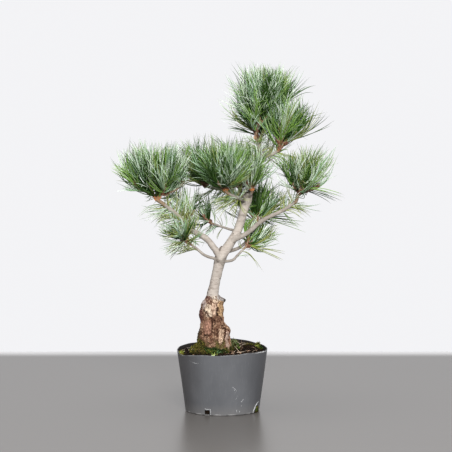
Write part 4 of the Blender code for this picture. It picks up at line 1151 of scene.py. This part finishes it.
def stock_finish():
    """Old bark: tan, pinkish plates, dark brown with painted shade in fissures, grey where the leader was cut."""
    finish, tree, place = blank_finish("old_bark", (0.4, 0.3, 0.2), 0.9, 0.2)
    tone = painted(tree, "tone", "Color")
    grain = clouds(tree, stretched(tree, place, 430.0, 200.0), 1.0, 5.0, 0.7)
    colour = mixed(tree, ramp(tree, grain, 0.54, 0.40, 0.80), tone, (0.085, 0.040, 0.025))
    colour = mixed(tree, ramp(tree, grain, 0.55, 0.68, 0.70), colour, scaled(tree, colour, 1.9))
    green = mixed(tree, clouds(tree, place, 330.0, 4.0), (0.014, 0.012, 0.005), (0.150, 0.135, 0.035))
    colour = mixed(tree, maths(tree, "MULTIPLY", painted(tree, "foot"), 0.88), colour, green)
    lay_on(tree, colour, grain, 0.6, 0.0006)
    return finish


def trunk_finish():
    """Smooth young bark, pale grey-tan on the trunk and greyer on the boughs, ringed by fine dark wrinkles."""
    finish, tree, place = blank_finish("young_bark", (0.4, 0.36, 0.3), 0.8, 0.25)
    rings = clouds(tree, stretched(tree, place, 110.0, 620.0), 1.0, 4.0)
    blotch = clouds(tree, place, 130.0, 4.0)
    colour = mixed(tree, painted(tree, "young"), (0.385, 0.340, 0.300), (0.250, 0.222, 0.192))
    colour = mixed(tree, ramp(tree, rings, 0.50, 0.72, 0.70), colour, (0.180, 0.145, 0.120))
    colour = mixed(tree, ramp(tree, blotch, 0.48, 0.70, 0.55), colour, (0.460, 0.420, 0.370))
    colour = mixed(tree, painted(tree, "scar"), colour, (0.075, 0.055, 0.045))
    lay_on(tree, colour, rings, 0.4)
    return finish


trunk_centres, trunk_radii = limb_line("trunk")
stock_end = next(i for i, centre in enumerate(trunk_centres) if centre.z > STOCK_TOP + 0.002)
stock_rings = rings_along(trunk_centres[:stock_end], trunk_radii[:stock_end], STOCK_SIDES, stock_swell)
below = [[Vector((p.x, p.y, GROUND - drop)) for p in stock_rings[0]] for drop in (0.006, 0.0)]
tubes = skin(below + stock_rings[1:])
skin(rings_along([STUMP_FROM, STUMP_TO], [STUMP_RADIUS] * 2, STUMP_SIDES), tubes)
stock = grown_together("stock", tubes, STOCK_VOXEL, 4, stock_finish())
carve(stock, stock_relief)
smooth(stock, 180.0)
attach(stock, "root")
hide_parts("trunk")

graft = next(i for i, centre in enumerate(trunk_centres) if centre.z > GRAFT_LOW)
upper_radii = [min(radius, GRAFT_WIDEST) * (1.0 - GRAFT_NARROWED_BY * (1.0 - step_up(0.1520, 0.1590, centre.z)))
               for centre, radius in zip(trunk_centres, trunk_radii)]
tubes = skin(rings_along(trunk_centres[graft:], upper_radii[graft:], LIMB_SIDES))
wood = kdtree.KDTree(4000)
wood_radii = []
for name in ["trunk", *LIMBS]:
    centres, radii = limb_line(name)
    if name != "trunk":
        skin(rings_along(centres, radii, LIMB_SIDES), tubes)
    for centre, radius in zip(centres, radii):
        wood.insert(centre, len(wood_radii))
        wood_radii.append(radius)
wood.balance()
for start, end, radius, _ in STUBS:
    line = [Vector(start), Vector(start).lerp(Vector(end), 0.7), Vector(end)]
    skin(rings_along(line, [radius, radius, STUB_TAPER * radius], STUB_SIDES), tubes)


def trunk_relief(point, normal):
    """Fine level wrinkles, low bumps, and dark scars at the stubs' ends and in spots of the front."""
    _, near, _ = wood.find(point)
    young = 1.0 - step_up(0.0022, 0.0060, wood_radii[near])
    wrinkle = noise_at(point, 130.0, 900.0)
    bump = noise.fractal(point * 140.0, 1.0, 2.0, 3)
    scar = max(dark * (1.0 - step_up(0.5 * radius, 1.2 * radius, (point - Vector(end)).length))
               for _, end, radius, dark in STUBS)
    fleck = max(1.0 - step_up(0.3, 1.4, math.hypot(point.x - x, point.z - z) / radius) for x, z, radius in SCARS)
    scar = max(scar, SCAR_DARK * fleck * step_up(-0.1, 0.2, -normal.y) if point.y < SCARS_BEFORE_Y else 0.0)
    return (WRINKLE_HEIGHT * wrinkle + BUMP_HEIGHT * bump) * (1.0 - 0.4 * young), {"young": young, "scar": scar}


trunk = grown_together("trunk_and_boughs", tubes, TRUNK_VOXEL, 7, trunk_finish())
carve(trunk, trunk_relief)
smooth(trunk, 180.0)
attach(trunk, "root")
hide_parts("trunk", *LIMBS)

# Shoots. Each bough ends in a fan of slender brown shoots that turn up towards the light, with papery orange
# scales round the bud at each tip and at each fork.
Mass = namedtuple("Mass", "limb hub tips spread sink shoots fill lift claim seed lean length",
                  defaults=(0.0, 1.0))
MASSES = {
    "left_pad": Mass(
        "left_bough", (-0.0885, -0.0100, 0.2875), (-0.0865, -0.0080, 0.3155), (0.037, 0.029), 0.005,
        11, 0.92, 1.15, 0.060, 1, lean=0.55),
    "left_low_tuft": Mass(
        "left_low_branch", (-0.0460, -0.0130, 0.2310), (-0.0540, -0.0160, 0.2400), (0.009, 0.009), 0.005,
        4, 0.45, 0.35, 0.036, 2, length=0.65),
    "left_side_tuft": Mass(
        "left_side_twig", (-0.0475, 0.0080, 0.2655), (-0.0485, 0.0120, 0.2740), (0.008, 0.008), 0.004,
        3, 0.40, 0.60, 0.036, 3, length=0.80),
    "inner_tuft": Mass(
        "inner_twig", (-0.0160, 0.0190, 0.2560), (-0.0195, 0.0200, 0.2640), (0.006, 0.006), 0.003,
        2, 0.60, 0.10, 0.034, 4, length=0.80),
    "middle_pad": Mass(
        "middle_bough", (0.0035, -0.0320, 0.3010), (0.0050, -0.0340, 0.3175), (0.020, 0.021), 0.007,
        9, 0.78, 1.25, 0.056, 5),
    "heart_pad": Mass(
        "heart_twig", (0.0405, -0.0160, 0.3020), (0.0370, -0.0200, 0.3150), (0.008, 0.011), 0.006,
        4, 0.60, 1.30, 0.042, 6),
    "right_pad": Mass(
        "right_bough", (0.1020, -0.0090, 0.2945), (0.1090, -0.0080, 0.3160), (0.019, 0.022), 0.009,
        8, 0.38, 0.75, 0.056, 7),
    "right_low_tuft": Mass(
        "right_low_branch", (0.0330, 0.0010, 0.2245), (0.0420, 0.0060, 0.2350), (0.010, 0.010), 0.004,
        4, 0.40, 0.50, 0.038, 8, length=0.75),
    "rear_right_tuft": Mass(
        "rear_right_branch", (0.0470, 0.0360, 0.2550), (0.0480, 0.0430, 0.2720), (0.011, 0.015), 0.008,
        5, 0.70, 0.80, 0.044, 9),
    "rear_left_pad": Mass(
        "rear_left_bough", (-0.0220, 0.0370, 0.3050), (-0.0270, 0.0440, 0.3145), (0.013, 0.018), 0.005,
        5, 0.50, 1.10, 0.050, 10),
    "rear_pad": Mass(
        "rear_bough", (0.0250, 0.0500, 0.2950), (0.0220, 0.0610, 0.3300), (0.014, 0.016), 0.010,
        5, 0.32, 1.00, 0.048, 11),
    "crown_left": Mass(
        "trunk", (0.0445, 0.0040, 0.3700), (0.0520, 0.0010, 0.4240), (0.015, 0.018), 0.012,
        10, 0.86, 1.10, 0.060, 12),
    "crown_right": Mass(
        "crown_right_twig", (0.0765, -0.0020, 0.3550), (0.0830, -0.0050, 0.3860), (0.016, 0.019), 0.012,
        8, 0.60, 1.10, 0.054, 13),
    "crown_rear": Mass(
        "crown_rear_twig", (0.0510, 0.0300, 0.3680), (0.0510, 0.0430, 0.3960), (0.016, 0.014), 0.012,
        5, 0.60, 1.00, 0.048, 14),
    "apex_tuft": Mass(
        "apex_twig", (0.0685, 0.0175, 0.3930), (0.0720, 0.0170, 0.4200), (0.011, 0.013), 0.006,
        6, 0.55, 1.10, 0.048, 15),
}
FIRST_FORKS = 3
FORK_SHARE = 0.35
UPTURN = 0.50
TIP_JITTER = 0.002
SHOOT_RADIUS = 0.0016
SHOOT_TIP_RADIUS = 0.0010
SHOOT_PIECES = 9
SHOOT_SIDES = 8
BUD_LENGTH = 0.0045
BUD_RADII = (0.0013, 0.0010, 0.0002)
SCALE_LENGTH = 0.0036
SCALE_SEED = 77
TIP_SCALES = 16
HUB_SCALES = 7
FORK_SCALES = 12
GOLDEN_ANGLE = math.pi * (3.0 - math.sqrt(5.0))
SCALE_TINTS = (((0.460, 0.185, 0.065), (0.560, 0.290, 0.130)), ((0.170, 0.075, 0.045), (0.290, 0.150, 0.085)))
BRIGHT_BUDS = ("left_pad", "middle_pad", "heart_pad")
BRIGHT_HUBS = ("crown_left", "crown_right")


def point_on(line, share):
    """A point on the curve that a shoot follows."""
    return line[0].lerp(line[1], share).lerp(line[1].lerp(line[2], share), share)


def on_core(line, share):
    """A point on the two straight pieces that stand for a shoot where the next ones fork from it."""
    core = [point_on(line, i / 2) for i in range(3)]
    piece = min(int(share * 2), 1)
    return core[piece].lerp(core[piece + 1], share * 2 - piece)


def shoot_lines(name):
    """Three points for each shoot: its root, the point that it bends towards, and its tip. The tips spread
    evenly over a dish, the first shoots fork at the hub, and the rest fork from the nearest of those."""
    mass = MASSES[name]
    chance = random.Random(mass.seed)
    hub = Vector(mass.hub)
    turn = chance.uniform(0.0, 2 * math.pi)
    lines = []
    for i in range(mass.shoots):
        out = math.sqrt((i + 0.5) / mass.shoots)
        angle = turn + i * GOLDEN_ANGLE
        away = Vector((mass.spread[0] * out * math.cos(angle), mass.spread[1] * out * math.sin(angle), 0.0))
        jitter = Vector(chance.uniform(-1.0, 1.0) for _ in range(3)) * TIP_JITTER
        tip = Vector(mass.tips) + away - UP * mass.sink * out * out + jitter
        root = hub
        if i >= FIRST_FORKS:
            near = min(lines[:FIRST_FORKS], key=lambda line: (line[2] - tip).length)
            root = on_core(near, FORK_SHARE)
        heading = (UP + (tip - hub).normalized()).normalized()
        lines.append((root, tip - heading * (tip - root).length * UPTURN, tip))
    return lines


def around(ahead, angle):
    """A direction square to another, at an angle round it."""
    side = ahead.orthogonal().normalized()
    return side * math.cos(angle) + ahead.cross(side) * math.sin(angle)


sprays = {name: shoot_lines(name) for name in MASSES}
twigs = bmesh.new()
scales = []
chance = random.Random(SCALE_SEED)
for name, lines in sprays.items():
    mass = MASSES[name]
    centres, radii = limb_line(mass.limb)
    ahead = (centres[-1] - centres[-2]).normalized()
    stem = curve_through([centres[-1] - ahead * 0.002, centres[-1] + ahead * radii[-1], Vector(mass.hub)], 0.002)
    skin(rings_along(stem, [radii[-1]] * len(stem), SHOOT_SIDES + 4), twigs)
    for shoot, line in enumerate(lines):
        centres = [point_on(line, i / SHOOT_PIECES) for i in range(SHOOT_PIECES + 1)]
        radii = [SHOOT_RADIUS + (SHOOT_TIP_RADIUS - SHOOT_RADIUS) * i / SHOOT_PIECES for i in range(len(centres))]
        ahead = (centres[-1] - centres[-2]).normalized()
        bud = [centres[-1] + ahead * BUD_LENGTH * share for share in (0.25, 0.6, 1.0)]
        skin(rings_along(centres + bud, radii + list(BUD_RADII), SHOOT_SIDES), twigs)
        fork = int(name not in BRIGHT_BUDS or shoot >= FIRST_FORKS)
        hub = int(name not in BRIGHT_BUDS + BRIGHT_HUBS or shoot >= FIRST_FORKS)
        for place, tint, count in ((centres[-1], 1, TIP_SCALES), (centres[0], hub, HUB_SCALES),
                                   (centres[1], fork, FORK_SCALES), (centres[2], fork, FORK_SCALES),
                                   (centres[3], fork, HUB_SCALES if fork == 0 else 0)):
            for k in range(count):
                out = around(ahead, k * GOLDEN_ANGLE)
                heading = (ahead + out * chance.uniform(0.25, 0.9)).normalized()
                root = place - ahead * 0.0008 * k / 2 + out * 0.0009
                scales.append(Tuft(root, heading, SCALE_LENGTH * chance.uniform(0.6, 1.1), UP * 0.0, tint))
shoot_bark = mottled_finish("shoot_bark", (0.25, 0.15, 0.08), (0.110, 0.075, 0.050), (0.340, 0.250, 0.165),
                            380.0, 4.0, 0.8, 0.25, 0.6)
shoots = object_of("shoots", twigs, shoot_bark)
smooth(shoots, 60.0)
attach(shoots, "root")

scale_tree = tuft_tree("bud_scales", SCALE_TINTS, Blades=1, Width=0.0007, Stations=4,
                       Lean=0.0, Sway=0.15, Wave=0.0)
bud_scales = grow(scale_tree, tuft_points("bud_scales", scales))
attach(bud_scales, "root")

# Needles. They grow in bundles of five, green outside and dusted blue-white within, spread wide on the old part
# of a shoot and close together at its tip. Each mass of needles is one piece.
FIRST_NEEDLE_SEED = 100
BUNDLES_A_SHOOT = 40
NEEDLE_LENGTH = 0.0500
NEEDLE_LENGTH_SPREAD = 0.10
NEEDLE_HALF_WIDTH = 0.00054
LEAST_SHARE = 0.75
NEEDLES_FROM = 0.08
OLD_SPLAY_DEG = 78.0
YOUNG_SPLAY_DEG = 10.0
SPLAY_AGEING = 1.3
SPLAY_JITTER_DEG = 15.0
BUNDLE_SWAY = 0.27
RISE = 0.30
DROOP = 0.10
STRAY_SHARE = 0.06
STRAY_LENGTH = 0.65
MINGLE = {"left_pad": -0.003, "middle_pad": 0.001}
MINGLE_ELSEWHERE = 0.006
NO_CEILING = 1.0
CEILINGS = {"left_low_tuft": 0.2680, "right_low_tuft": 0.2650, "left_pad": 0.3620, "middle_pad": 0.3640,
            "right_pad": 0.3560, "crown_left": 0.4665, "apex_tuft": 0.4620}
OVER_CEILING = 0.0040
SUNLIT = {"right_pad": 0.40, "left_low_tuft": 0.40, "right_low_tuft": 0.40, "left_side_tuft": 0.30,
          "inner_tuft": 0.30, "crown_right": 0.12}
THIN_BEYOND = {"left_pad": (-1.0, 0.138), "right_pad": (1.0, 0.138), "crown_left": (-1.0, -0.026),
               "crown_right": (1.0, 0.120), "apex_tuft": (1.0, 0.098)}
THIN_SHARE = 0.55
LEAN_SHARE = 0.16
LOWEST_STRAY = -0.55
PROUD = 0.0035
NEEDLE_TINTS = {
    "deep": ((0.022, 0.060, 0.007), (0.085, 0.150, 0.050)),
    "mid": ((0.175, 0.310, 0.060), (0.350, 0.480, 0.230)),
    "blue": ((0.220, 0.350, 0.190), (0.500, 0.620, 0.500)),
    "old": ((0.235, 0.275, 0.070), (0.360, 0.400, 0.190)),
    "pale": ((0.480, 0.590, 0.420), (0.700, 0.770, 0.680)),
}
TINT_SHARES = {"deep": 0.26, "mid": 0.28, "blue": 0.20, "old": 0.04, "pale": 0.22}
OWN_TINT_SHARE = 0.22
SHADED = {"rear_left_pad": 0.85, "rear_pad": 0.45, "rear_right_tuft": 0.45, "crown_rear": 0.20}
AGED_FROM = 0.7
AGED_SHARE = 0.35
YELLOWED_SHARE = 0.15
SHADED_SIDES = {"middle_pad": -1.0, "crown_right": 1.0, "apex_tuft": 1.0}
SHADED_SIDE_LEAN = 0.32
SHADED_SIDE_SHARE = 0.7
FOOT_LENGTH = 0.004
NEEDLE_CLEARANCE = 0.0005


def room_ahead(name, start, direction):
    """How far a straight line runs inside the mass's own space, whose flat walls stand between it and each
    other mass, nearer to the one that claims less."""
    own = Vector(MASSES[name].tips)
    room = 1.0
    for other, mass in MASSES.items():
        if other == name:
            continue
        away = Vector(mass.tips) - own
        wall = away.length * MASSES[name].claim / (MASSES[name].claim + mass.claim)
        wall += MINGLE.get(name, MINGLE_ELSEWHERE)
        away.normalize()
        left = wall - (start - own).dot(away)
        if left < 0.0:
            return 0.0
        if direction.dot(away) > 1e-6:
            room = min(room, left / direction.dot(away))
    return room


wood_points = np.array([wood_point for name in ["trunk", *LIMBS] for wood_point in limb_line(name)[0]])
wood_reach = np.array(wood_radii) + NEEDLE_CLEARANCE


def clears_limbs(root, heading, length):
    """Whether a needle clears the trunk and the limbs, but for its own foot."""
    start = np.array(root + heading * FOOT_LENGTH)
    along = np.array(heading) * (length - FOOT_LENGTH)
    share = np.clip(((wood_points - start) @ along) / (along @ along), 0.0, 1.0)
    apart = np.linalg.norm(start + share[:, None] * along - wood_points, axis=1)
    return bool((apart > wood_reach).all())


def inside_box(tip):
    """Whether a needle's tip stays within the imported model's box, but for the little that needles stand proud."""
    return all(low - PROUD < place < high + PROUD for low, place, high in zip(cad_box[0], tip, cad_box[1]))


def any_tint(chance):
    """A tint of needles, drawn by its share."""
    return chance.choices(list(TINT_SHARES), list(TINT_SHARES.values()))[0]


def bundles_on(name, line, chance):
    """The bundles of needles along a shoot."""
    turn = chance.uniform(0.0, 2 * math.pi)
    tint = any_tint(chance)
    made = []
    mass = MASSES[name]
    ceiling = CEILINGS.get(name, NO_CEILING)
    way, edge = THIN_BEYOND.get(name, (1.0, 1.0))
    away = line[2] - Vector(mass.tips)
    lean = Vector((away.x / mass.spread[0], away.y / mass.spread[1], 0.0)) * mass.lean
    count = int(BUNDLES_A_SHOOT * mass.fill)
    for i in range(count):
        # Where the bundle stands, and where it heads.
        age = 1.0 - (i + 0.5) / count
        share = 1.0 - (1.0 - NEEDLES_FROM) * age
        ahead = (point_on(line, share) - point_on(line, share - 0.05)).normalized()
        splay = math.radians(YOUNG_SPLAY_DEG + (OLD_SPLAY_DEG - YOUNG_SPLAY_DEG) * age ** SPLAY_AGEING
                             + SPLAY_JITTER_DEG * chance.uniform(-1.0, 1.0))
        out = around(ahead, turn + i * GOLDEN_ANGLE + chance.uniform(-0.3, 0.3))
        stray = chance.random() < STRAY_SHARE
        heading = ahead * math.cos(splay) + (out + UP * (0.0 if stray else mass.lift)) * math.sin(splay)
        if chance.random() < LEAN_SHARE:
            heading += lean
        heading.normalize()
        root = point_on(line, share) + out * SHOOT_TIP_RADIUS * 0.8

        # How long it can be and how it bows, if there is room for it.
        length = NEEDLE_LENGTH * mass.length * (1.0 + NEEDLE_LENGTH_SPREAD * chance.uniform(-1.0, 0.8))
        length *= STRAY_LENGTH if stray else 1.0
        fits = min(length, room_ahead(name, root, heading))
        if heading.z > 0.2:
            fits = min(fits, (ceiling - root.z) / heading.z)
        if fits < length * LEAST_SHARE or heading.z < LOWEST_STRAY or not clears_limbs(root, heading, fits):
            continue
        rise = RISE * math.sin(splay) * chance.uniform(-0.6, 1.0) - (DROOP if heading.z < 0.0 else 0.0)
        bow = UP * rise + Vector(chance.uniform(-BUNDLE_SWAY, BUNDLE_SWAY) for _ in range(3))
        tip = root + (heading + bow) * fits
        if not inside_box(tip) or room_ahead(name, tip, heading) <= 0.0 or tip.z > ceiling + OVER_CEILING:
            continue
        if way * tip.x > edge and chance.random() < THIN_SHARE:
            continue

        # Its tint: mostly any, deep low on a shoot and as painted shade, and yellower in the sun as painted light.
        shade = tint if chance.random() < OWN_TINT_SHARE else any_tint(chance)
        if (age > AGED_FROM and chance.random() < AGED_SHARE) or chance.random() < SHADED.get(name, 0.0):
            shade = "old" if chance.random() < YELLOWED_SHARE else "deep"
        elif chance.random() < SUNLIT.get(name, 0.0):
            shade = chance.choice(("old", "pale", "mid"))
        # Painted shade: needles heading out to one side of some masses turn deep.
        if heading.x * SHADED_SIDES.get(name, 0.0) > SHADED_SIDE_LEAN and chance.random() < SHADED_SIDE_SHARE:
            shade = "deep"
        made.append(Tuft(root, heading, fits, bow, list(NEEDLE_TINTS).index(shade)))
    return made


needle_tree = tuft_tree("needles", NEEDLE_TINTS.values(), Blades=NEEDLES_A_BUNDLE, Width=NEEDLE_HALF_WIDTH,
                        Stations=7, Lean=math.radians(6.5), Sway=0.15, Wave=0.60)
for name, lines in sprays.items():
    chance = random.Random(FIRST_NEEDLE_SEED + MASSES[name].seed)
    tufts = [tuft for line in lines for tuft in bundles_on(name, line, chance)]
    needles = grow(needle_tree, tuft_points(name + "_needles", tufts))
    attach(needles, "root")
    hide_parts(name)

# Old needles. The boughs still carry loose threes of last year's needles, the trunk only near its top. A stretch
# is where they start and end along a limb, as shares of its length, and how many there are.
OLD_STRETCHES = {
    "left_bough": (0.46, 1.00, 115), "trunk": (0.85, 1.00, 48), "right_bough": (0.78, 1.00, 26),
    "rear_bough": (0.40, 1.00, 14), "middle_bough": (0.40, 1.00, 44), "rear_left_bough": (0.40, 1.00, 34),
    "crown_right_twig": (0.30, 1.00, 24), "apex_twig": (0.30, 1.00, 10), "inner_twig": (0.50, 1.00, 12),
    "right_low_branch": (0.60, 1.00, 8), "left_low_branch": (0.70, 1.00, 10),
}
OLD_TINTS = ("old", "old", "mid", "pale", "blue")
OLD_SEED = 200
OLD_HALF_WIDTH = 0.00043
BARE_FRONT = -0.75
chance = random.Random(OLD_SEED)
tufts = []
for name, (first, last, count) in OLD_STRETCHES.items():
    centres, radii = limb_line(name)
    for i in range(count):
        at = min(len(centres) - 2, int((first + (last - first) * (i + 0.5) / count) * len(centres)))
        ahead = (centres[at + 1] - centres[at]).normalized()
        out = around(ahead, i * GOLDEN_ANGLE + chance.uniform(-0.5, 0.5))
        heading = (ahead * chance.uniform(0.2, 1.2) + out).normalized()
        root = centres[at] + out * radii[at] * 0.8
        length = NEEDLE_LENGTH * chance.uniform(0.40, 0.8)
        clear = clears_limbs(root, heading, length) and inside_box(root + heading * length)
        if clear and (out.y > BARE_FRONT or name == "trunk"):
            tufts.append(Tuft(root, heading, length, UP * chance.uniform(-0.25, 0.1),
                              list(NEEDLE_TINTS).index(chance.choice(OLD_TINTS))))
sparse = grow(needle_tree, tuft_points("old_needles", tufts), Blades=3, Width=OLD_HALF_WIDTH)
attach(sparse, "root")
